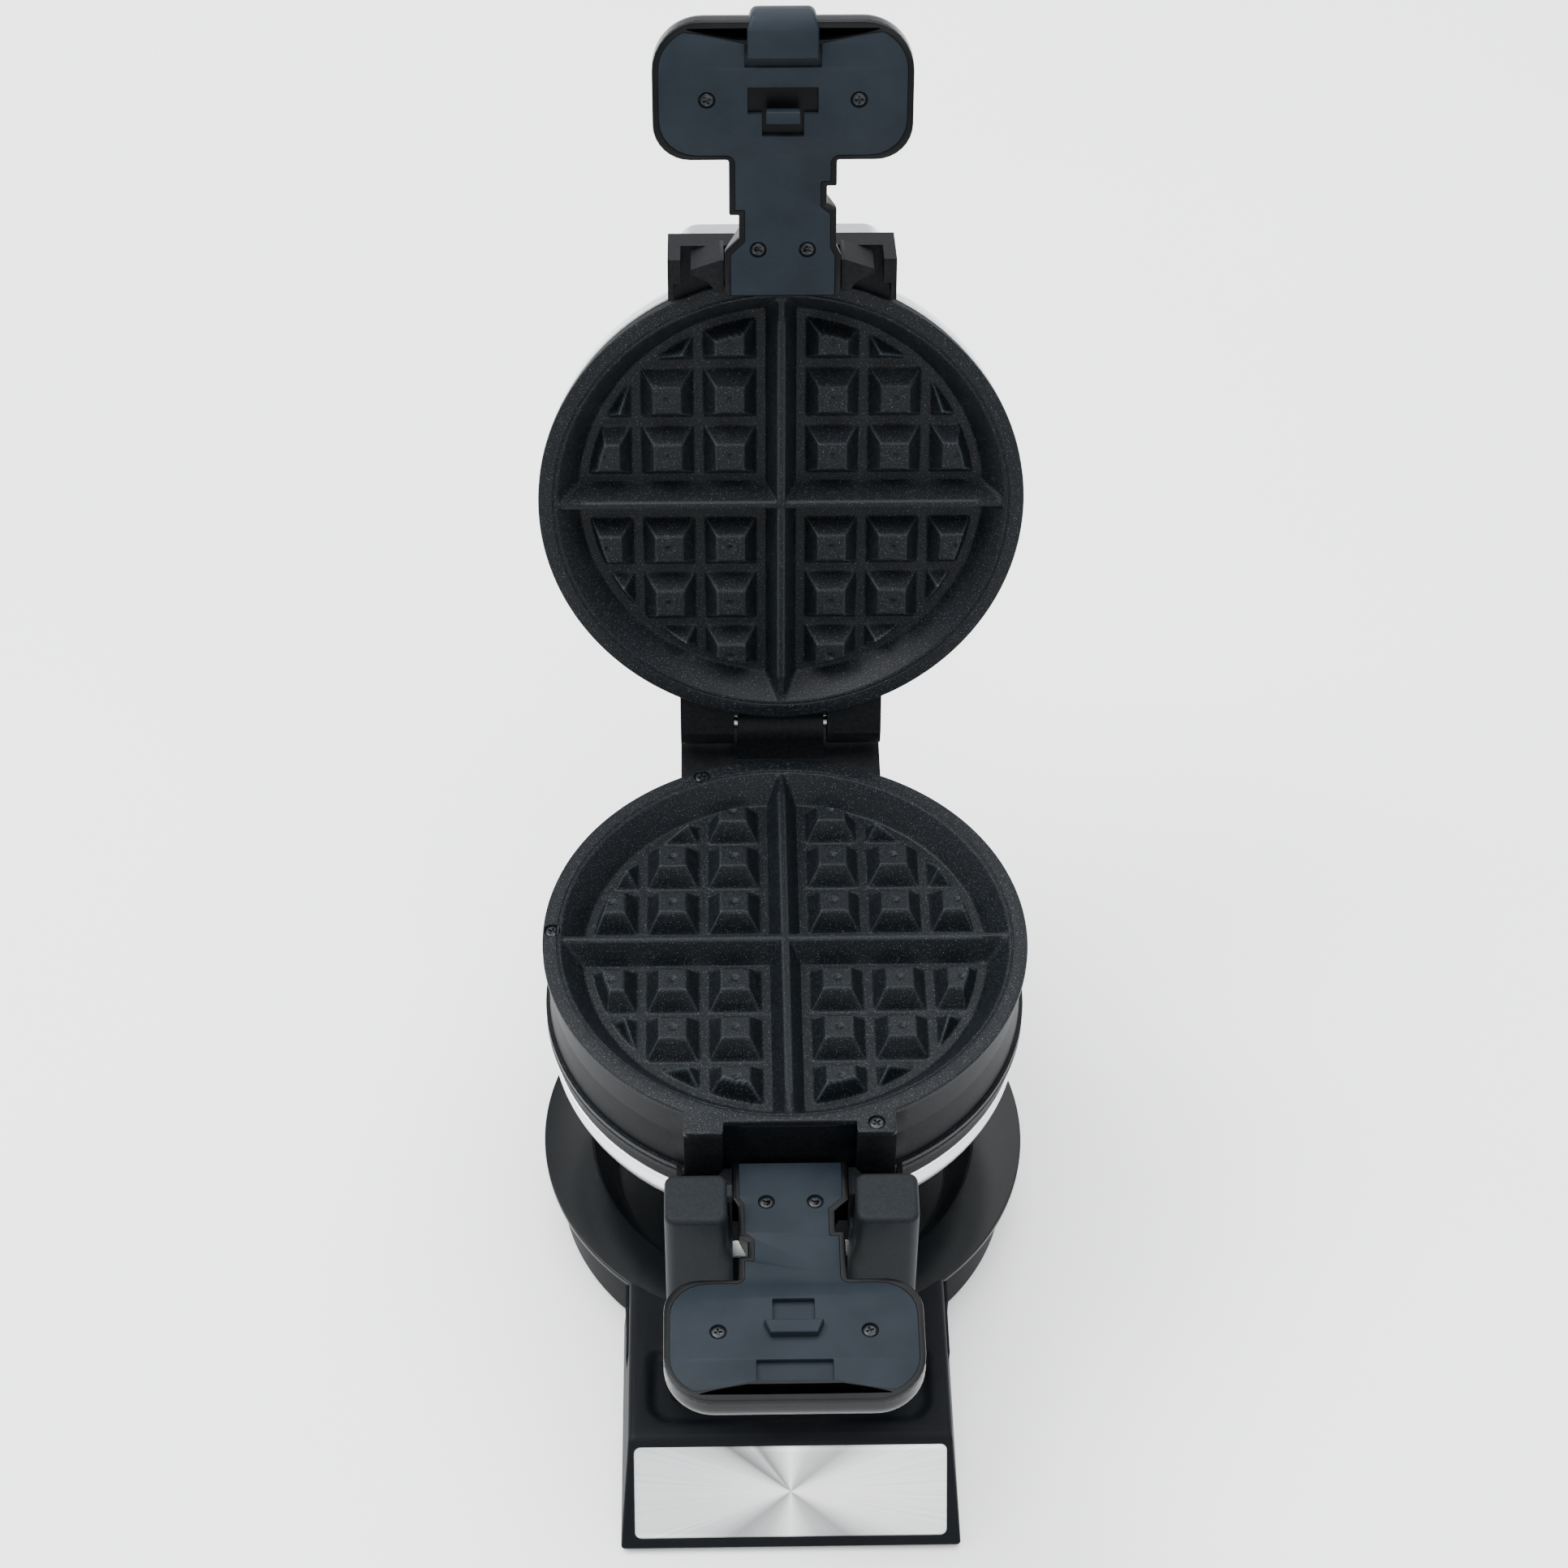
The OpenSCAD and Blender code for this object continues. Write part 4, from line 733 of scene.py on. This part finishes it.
def cross_screw(x, y, top, radius, length, facing=1, turn=0.4):
    """A screw in mm with its domed head's top at a height, cross recess turned
    by an angle, and its shank away from the side it faces."""
    arm, half = 0.68 * radius, 0.17 * radius
    cross = np.array([(arm, half), (half, half), (half, arm), (-half, arm), (-half, half), (-arm, half),
                      (-arm, -half), (-half, -half), (-half, -arm), (half, -arm), (half, -half), (arm, -half)])
    c, s = math.cos(turn), math.sin(turn)
    cross = cross @ np.array([[c, s], [-s, c]])
    head = slab(ring(radius, 28), [(0.42 * radius, 0.0), (0.2 * radius, 0.12), (0.05 * radius, 0.4), (0, 0.75),
                                   (0, 1.35)],
                [(cross * 0.86, [(0, 0.0), (0.08, 0.85)])])
    shank = turned(np.array([[0, 1.3], [radius * 0.5, 1.3], [radius * 0.5, length - 1], [0, length]]), 20)
    points, faces = joined(head, shank)
    return points * (1, 1, -facing) + (x, y, top), faces


for name, place, body in (("upper_handle_screws", opened, "upper_lid"),
                          ("lower_handle_screws", on_axis_flipped, "lower_lid")):
    points, faces = joined(*[cross_screw(x, y, mid_gap + 0.25, 2.75, 10.5, -1, 0.3 + 0.9 * k)
                             for k, (x, y) in enumerate(handle_screws)])
    make(name + "_turned", place(points), faces, body, oxide, (name,), 40)
for name, place, body in (("upper_hinge_screws", opened, "upper_lid"),
                          ("lower_hinge_screws", on_axis_flipped, "lower_lid")):
    points, faces = joined(*[cross_screw(x, plate_r - 5, half_h + 13.2 + 11.3, 2.9, 10) for x in (-33, 33)])
    make(name + "_turned", place(points), faces, body, oxide, (name,), 40)
rim_set = joined(*[cross_screw(x, y, half_h - 0.35, 2.95, 12, 1, 0.2 + k)
                   for k, (x, y) in enumerate(rim_screws)])
points, faces = joined(rim_set, (rim_set[0] * (-1, 1, -1), rim_set[1]))
make("middle_plate_screws_turned", on_axis(points), faces, "rotor", oxide,
     ("middle_plate_screws",), 40)

# ---------------------------------------------------------------------------
# Yoke posts: two soft-edged satin slate mouldings beside the neck, flared in
# below it, each with a small guide tab.
slate, slate_nodes, slate_links, slate_shader = finish("yoke_black", (0.020, 0.024, 0.028), 0.5)
slate_grain = noise_of(slate_nodes, slate_links, 1100, 2.0)
tint_by(slate_nodes, slate_links, slate_shader, slate_grain.outputs["Fac"], (0.0060, 0.0074, 0.0088),
        (0.0088, 0.0106, 0.0125))
slate_bump = slate_nodes.new("ShaderNodeBump")
slate_bump.inputs["Distance"].default_value = 0.00002
slate_links.new(slate_grain.outputs["Fac"], slate_bump.inputs["Height"])
slate_links.new(slate_bump.outputs["Normal"], slate_shader.inputs["Normal"])
plate_middle = float(axis_point[1]) / mm
post_low, post_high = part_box("front_yoke")
post_top, post_foot = (post_high[2] - axis_point[2]) / mm, (post_low[2] - axis_point[2]) / mm
post_x, post_y = (24.5, post_high[0] / mm), (post_low[1] / mm - plate_middle, post_high[1] / mm - plate_middle)
post_outline = rounded([(post_x[0], post_y[0], 4.5), (post_x[1], post_y[0], 4.5), (post_x[1], post_y[1], 4.0),
                        (post_x[0], post_y[1], 4.0)], 10)
heights = np.concatenate([np.linspace(post_foot, -18, 6), np.linspace(-16, -4, 9), [0, 6, post_top - 2.4]])
crown = [(2.2 - 2.2 * math.cos(a), post_top - 2.2 + 2.2 * math.sin(a))
         for a in np.radians(np.linspace(8, 90, 8))]
right_post = slab(post_outline, [(0, z) for z in heights] + crown)
inner = np.clip((post_x[0] + 8 - right_post[0][:, 0]) / 8, 0, 1)
flare = np.clip((-5 - right_post[0][:, 2]) / 11, 0, 1)
right_post[0][:, 0] -= 2.0 * inner * flare * flare * (3 - 2 * flare)
tab_in = 22.4
left_post = (right_post[0] * (-1, 1, 1), right_post[1])
points, faces = joined(right_post, left_post, box((-25.5, -tab_in - 0.05), (-125, -119), (9, 13), 0.5),
                       box((tab_in + 0.05, 25.5), (-125, -119), (-13, -9), 0.5))
make("front_yoke_moulded", on_axis(points), faces, "base", slate, ("front_yoke",), 30)

# ---------------------------------------------------------------------------
# Drip tray: one glossy dark slate moulding, a flat flange round a conical step
# down to a flat well, lifted out by hand.
tray_coat, tray_nodes, tray_links, tray_shader = finish("tray_slate", (0.012, 0.016, 0.018), 0.24,
                                                        specular=0.15)
tray_wave = noise_of(tray_nodes, tray_links, 25, 2.0)
tint_by(tray_nodes, tray_links, tray_shader, tray_wave.outputs["Fac"], (0.0022, 0.0030, 0.0036),
        (0.0032, 0.0042, 0.0050))
tray_bump = tray_nodes.new("ShaderNodeBump")
tray_bump.inputs["Distance"].default_value = 0.00005
tray_links.new(tray_wave.outputs["Fac"], tray_bump.inputs["Height"])
tray_links.new(tray_bump.outputs["Normal"], tray_shader.inputs["Normal"])
tray_low, tray_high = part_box("drip_tray")
tray_r, tray_top, tray_foot = (tray_high[0] - tray_low[0]) / 2 / mm, tray_high[2] / mm, tray_low[2] / mm
well_r = tray_r - 20
tray_profile = np.concatenate([
    [[0, tray_foot], [well_r - 10, tray_foot], [well_r, tray_top - 2.5], [tray_r - 0.3, tray_top - 2.5],
     [tray_r, tray_top - 2.1], [tray_r, tray_top - 0.6]],
    arc(tray_r - 0.6, tray_top - 0.6, 0.6, 10, 90, 5), [[well_r - 0.2, tray_top]],
    arc(well_r - 0.2, tray_top - 1.6, 1.6, 100, 150, 5), [[well_r - 10.4, 16.6]],
    arc(well_r - 12.6, 17.2, 1.6, -30, -85, 5), [[0, tray_foot + 1.6]]])
points, faces = turned(tray_profile, 300)
points[:, 1] = np.maximum(points[:, 1], 12 - 111.0)
make("drip_tray_moulded", points * mm + (0, axis_point[1], 0), faces, "tray", tray_coat,
     ("drip_tray",), 35)

# ---------------------------------------------------------------------------
# Base body: satin black moulding, a round wall under the tray with a block in
# front. The block has a softly dished top and a sloping face with a bezel.
base_black, base_nodes, base_links, base_shader = finish("base_black", (0.012, 0.014, 0.018), 0.5)
base_grain = noise_of(base_nodes, base_links, 1000, 2.0)
tint_by(base_nodes, base_links, base_shader, noise_of(base_nodes, base_links, 30).outputs["Fac"],
        (0.0026, 0.0033, 0.0044), (0.0038, 0.0047, 0.0060))
base_bump = base_nodes.new("ShaderNodeBump")
base_bump.inputs["Distance"].default_value = 0.00003
base_links.new(base_grain.outputs["Fac"], base_bump.inputs["Height"])
base_links.new(base_bump.outputs["Normal"], base_shader.inputs["Normal"])
base_low, base_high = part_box("base_shell")
base_foot, block_top = base_low[2] / mm, base_high[2] / mm
base_half, base_lean, base_r = 68.4, 3.6, tray_r - 6.5
front_foot = base_low[1] / mm - plate_middle
face_slope = 0.74
deck = tray_top - 3.0


def deck_arc(half, sign):
    """The edge of the deck well between x = half and -half: y = sign * sqrt(r^2 - x^2)."""
    start = math.acos(half / (tray_r + 0.3))
    t = np.linspace(start, math.pi - start, 60)
    return np.stack([np.cos(t), sign * np.sin(t)], -1) * (tray_r + 0.3)


def block_ring(z, shrink, corner=1.5):
    """One level of the front block: arc at the rear, sides that lean in slightly
    toward the top, and a front that follows the sloping face."""
    half = base_half - base_lean * (z - base_foot) / (block_top - base_foot) - shrink
    front = front_foot + max(0.0, z - base_foot - 1) * face_slope + shrink
    front_part = rounded([(half, -90, 0), (-half, -90, 0), (-half, front, corner), (half, front, corner)], 7)
    return np.concatenate([deck_arc(half, -1), front_part[2:]])


top_round = 2.6
levels = [(base_foot, 0.5), (base_foot + 0.5, 0.1)]
levels += [(z, 0.0) for z in np.linspace(base_foot + 1, block_top - top_round, 9)]
face_rows = (2, len(levels) - 1)
levels += [(block_top - top_round + top_round * math.sin(a), top_round - top_round * math.cos(a))
           for a in np.radians(np.linspace(12, 90, 8))]
rings = [block_ring(z, shrink) for z, shrink in levels]
count = len(rings[0])
left_column, right_column = count - 8, count - 7
body_points = [np.column_stack([shape, np.full(count, z)]) for shape, (z, _) in zip(rings, levels)]
body_faces = [face for k, face in enumerate(grid_faces(len(levels), count))
              if not (k % count == left_column and face_rows[0] <= k // count < face_rows[1])]
start = len(levels) * count
face_len = (block_top - 3) * math.sqrt(1 + face_slope ** 2)
seat_x, seat_y = 63.0, 3.4
seat = rounded([(-seat_x, seat_y, 3), (seat_x, seat_y, 3), (seat_x, face_len - seat_y, 3),
                (-seat_x, face_len - seat_y, 3)], 8)


def on_face(points):
    """Points in mm, x across, y up the slope and z out of the sloping face."""
    p = np.asarray(points, float)
    s, c = face_slope / math.hypot(1, face_slope), 1 / math.hypot(1, face_slope)
    return np.stack([p[:, 0], front_foot + p[:, 1] * s - p[:, 2] * c,
                     base_foot + 1 + p[:, 1] * c + p[:, 2] * s], -1)


for drop, shift in ((0.0, 0.0), (-0.35, -0.3), (-2.2, -0.3)):
    body_points.append(on_face(np.column_stack([inset(seat, -shift), np.full(len(seat), drop)])))
body_faces += grid_faces(3, len(seat), start)
seat_start, start = start, start + 3 * len(seat)
dish_outline = rounded([(57.5, -113.4, 5), (-57.5, -113.4, 5), (-57.5, -149.3, 11), (57.5, -149.3, 11)], 12)
dish_steps = [(-1.2, 0.0), (-0.3, -0.12), (0.7, -0.5), (1.6, -1.1), (2.5, -1.6), (3.6, -1.9), (5.0, -2.0)]
around = len(dish_outline)
for shift, drop in dish_steps:
    body_points.append(np.column_stack([inset(dish_outline, shift), np.full(around, block_top + drop)]))
body_faces += grid_faces(len(dish_steps), around, start)
body_points = np.concatenate(body_points)
face_loop = np.concatenate([np.arange(face_rows[0], face_rows[1] + 1) * count + left_column,
                            np.arange(face_rows[1], face_rows[0] - 1, -1) * count + right_column])
body_faces += flat_faces(body_points, [face_loop, seat_start + np.arange(len(seat))])
body_faces += flat_faces(body_points, [seat_start + 2 * len(seat) + np.arange(len(seat))])
body_faces += flat_faces(body_points, [np.arange(count) + (len(levels) - 1) * count, start + np.arange(around)])
body_faces += flat_faces(body_points, [start + (len(dish_steps) - 1) * around + np.arange(around)])
body_faces += flat_faces(body_points, [np.arange(count)])
soft_top = [(3 - 3 * math.cos(a), block_top - 3 + 3 * math.sin(a)) for a in np.radians(np.linspace(10, 90, 7))]
rear_shape = rounded([(-42, 100, 0), (42, 100, 0), (42, 165.9, 12), (-42, 165.9, 12)], 12)
rear_outline = np.concatenate([deck_arc(42, 1)[::-1], rear_shape[2:]])
rear_part = slab(rear_outline, [(0.4, base_foot), (0, base_foot + 0.5), (0, block_top - 3)] + soft_top)
wall = turned(np.array([[well_r + 3.2, deck - 2.4], [base_r - 2.6, deck - 2.4], [base_r - 2.6, base_foot + 0.4],
                        [base_r - 2.2, base_foot], [base_r - 0.6, base_foot], [base_r, base_foot + 0.6],
                        [base_r, deck - 1.2], [base_r - 0.35, deck - 0.35], [base_r - 1.2, deck],
                        [well_r + 3.2, deck], [well_r + 3.2, deck - 2.4]]), 300)
deck_levels = [(0.3, base_foot), (0, base_foot + 0.4), (0, deck - 0.4), (0.4, deck)]
front_fill = slab(rounded([(-base_half + 2, -112, 0), (base_half - 2, -112, 0), (base_half - 2, -87, 0),
                           (-base_half + 2, -87, 0)], 4), deck_levels)
rear_fill = slab(rounded([(-41.9, 80, 0), (41.9, 80, 0), (41.9, 108, 0), (-41.9, 108, 0)], 4), deck_levels)
side_fill = [box((s * 60, s * 67.0)[::s], (-88, -60), (base_foot, deck), 0.4) for s in (1, -1)]
points, faces = joined((body_points, body_faces), wall, rear_part, front_fill, rear_fill, *side_fill)
make("base_shell_moulded", points * mm + (0, axis_point[1], 0), faces, "base", base_black,
     ("base_shell",), 32)

# ---------------------------------------------------------------------------
# Fascia: spun bright steel let into the sloping face, with painted reflection in its base colour:
# wide pale rays from its centre and finer ones between them.
spun, spun_nodes, spun_links, spun_shader = finish("spun_steel", (0.8, 0.81, 0.82), 0.34, metal=0.75)
spun_place = spun_nodes.new("ShaderNodeTexCoord")
panel_points = on_face([[0, face_len / 2, -0.6]])[0] * mm + (0, axis_point[1], 0)
spun_turn = spun_nodes.new("ShaderNodeMapping")
spun_turn.vector_type = "TEXTURE"
spun_turn.inputs["Location"].default_value = tuple(panel_points)
spun_turn.inputs["Rotation"].default_value = (math.atan2(1, face_slope), 0, 0)
spun_split = spun_nodes.new("ShaderNodeSeparateXYZ")
spun_angle = spun_nodes.new("ShaderNodeMath")
spun_angle.operation = "ARCTAN2"
spun_share = spun_nodes.new("ShaderNodeMapRange")
spun_share.inputs["From Min"].default_value, spun_share.inputs["From Max"].default_value = -math.pi, math.pi
spun_links.new(spun_place.outputs["Object"], spun_turn.inputs["Vector"])
spun_links.new(spun_turn.outputs["Vector"], spun_split.inputs["Vector"])
spun_links.new(spun_split.outputs["Y"], spun_angle.inputs[0])
spun_links.new(spun_split.outputs["X"], spun_angle.inputs[1])
spun_links.new(spun_angle.outputs[0], spun_share.inputs["Value"])
# painted reflection: light and dark rays set by angle around the panel's centre, laid into the base colour
painted_rays = spun_nodes.new("ShaderNodeValToRGB")
spun_links.new(spun_share.outputs["Result"], painted_rays.inputs["Fac"])
painted_ray_tones = [(0.0, 0.95), (0.05, 0.90), (0.11, 0.34), (0.17, 0.50), (0.25, 0.95), (0.33, 0.48), (0.39, 0.34),
             (0.445, 0.90), (0.5, 0.97), (0.555, 0.86), (0.61, 0.36), (0.68, 0.52), (0.75, 0.95), (0.82, 0.44),
             (0.845, 0.22), (0.86, 0.50), (0.895, 0.20), (0.91, 0.50), (0.95, 0.90), (1.0, 0.95)]
while len(painted_rays.color_ramp.elements) < len(painted_ray_tones):
    painted_rays.color_ramp.elements.new(0.5)
for stop, (place, tone) in zip(painted_rays.color_ramp.elements, painted_ray_tones):
    stop.position, stop.color = place, (tone, tone * 1.005, tone * 1.01, 1)
spun_fine = spun_nodes.new("ShaderNodeTexNoise")
spun_fine.noise_dimensions = "1D"
spun_fine.inputs["Scale"].default_value = 260
spun_links.new(spun_share.outputs["Result"], spun_fine.inputs["W"])
spun_mix = spun_nodes.new("ShaderNodeMix")
spun_mix.data_type, spun_mix.blend_type = "RGBA", "MULTIPLY"
spun_mix.inputs["Factor"].default_value = 0.28
spun_links.new(painted_rays.outputs["Color"], spun_mix.inputs["A"])
spun_links.new(spun_fine.outputs["Fac"], spun_mix.inputs["B"])
spun_links.new(spun_mix.outputs["Result"], spun_shader.inputs["Base Color"])
spun_bump = spun_nodes.new("ShaderNodeBump")
spun_bump.inputs["Distance"].default_value = 0.00002
spun_links.new(spun_fine.outputs["Fac"], spun_bump.inputs["Height"])
spun_links.new(spun_bump.outputs["Normal"], spun_shader.inputs["Normal"])
panel_x, panel_y = seat_x - 0.2, seat_y + 0.2
panel = slab(rounded([(-panel_x, panel_y, 2.8), (panel_x, panel_y, 2.8), (panel_x, face_len - panel_y, 2.8),
                      (-panel_x, face_len - panel_y, 2.8)], 8),
             [(0, -2.0), (0, -0.9), (0.1, -0.7), (0.3, -0.6)])
make("front_panel_spun", on_face(panel[0]) * mm + (0, axis_point[1], 0), panel[1], "base", spun,
     ("front_panel",), 30)

# ---------------------------------------------------------------------------
# Rear column, its cover, the floor of the base and the feet: moulded parts that
# keep their shape and take soft edges; the feet and gland are rubber.
softened("rear_column", "base", base_black, 1.6, 3, 30)
softened("column_cover", "base", base_black, 0.8, 2, 30)
softened("base_bottom_plate", "base", base_black, 0.4, 2, 30)
rubber, rubber_nodes, rubber_links, rubber_shader = finish("foot_rubber", (0.03, 0.03, 0.032), 0.8)
tint_by(rubber_nodes, rubber_links, rubber_shader, noise_of(rubber_nodes, rubber_links, 700).outputs["Fac"],
        (0.022, 0.022, 0.024), (0.040, 0.040, 0.042))
softened("base_feet", "base", rubber, 0.5, 2, 30)
softened("cord_gland", "base", rubber, 0.5, 2, 30)

# ---------------------------------------------------------------------------
# Inner metal: turned shaft, pins, ring, springs, reflectors and screws keep
# their shape in plain drawn steel with faint turning marks.
drawn_steel, drawn_nodes, drawn_links, drawn_shader = finish("drawn_steel", (0.55, 0.56, 0.58), 0.32, metal=1.0)
tint_by(drawn_nodes, drawn_links, drawn_shader,
        noise_of(drawn_nodes, drawn_links, 500, 3.0, (1, 0.1, 1)).outputs["Fac"], (0.45, 0.46, 0.48), (0.62,
                0.63, 0.65))


def recoat(material, *names):
    """Gives carried-over pieces a finish in place of their plain colour."""
    for name in names:
        for shape in nodes[name] if isinstance(nodes[name], (list, tuple)) else [nodes[name]]:
            for held in shape.material_slots:
                held.material = material


recoat(drawn_steel, "rotor_shaft", "shaft_ring", "hinge_pin_upper", "hinge_pin_lower", "latch_spring",
       "base_screws",
       "upper_reflector", "lower_reflector")

# ---------------------------------------------------------------------------
# Heaters and their fittings: sheathed elements darkened by heat, ceramic
# thermostats and fuse, red lamp lenses and the bush of cream acetal.
sheath, sheath_nodes, sheath_links, sheath_shader = finish("element_sheath", (0.16, 0.15, 0.14), 0.5, metal=0.8)
tint_by(sheath_nodes, sheath_links, sheath_shader, noise_of(sheath_nodes, sheath_links, 120).outputs["Fac"],
        (0.10, 0.095, 0.09), (0.24, 0.22, 0.20))
recoat(sheath, "middle_elements", "upper_element", "lower_element")
ceramic, ceramic_nodes, ceramic_links, ceramic_shader = finish("ceramic_body", (0.7, 0.68, 0.62), 0.55)
tint_by(ceramic_nodes, ceramic_links, ceramic_shader, noise_of(ceramic_nodes, ceramic_links,
                                                               400).outputs["Fac"],
        (0.64, 0.62, 0.56), (0.75, 0.73, 0.67))
recoat(ceramic, "upper_thermostat", "lower_thermostat", "thermal_fuse", "column_bush")
lens, lens_nodes, lens_links, lens_shader = finish("lamp_lens", (0.45, 0.05, 0.02), 0.15, coat=0.3)
tint_by(lens_nodes, lens_links, lens_shader, noise_of(lens_nodes, lens_links, 300).outputs["Fac"],
        (0.35, 0.03, 0.015), (0.55, 0.07, 0.03))
recoat(lens, "upper_lights", "lower_lights")
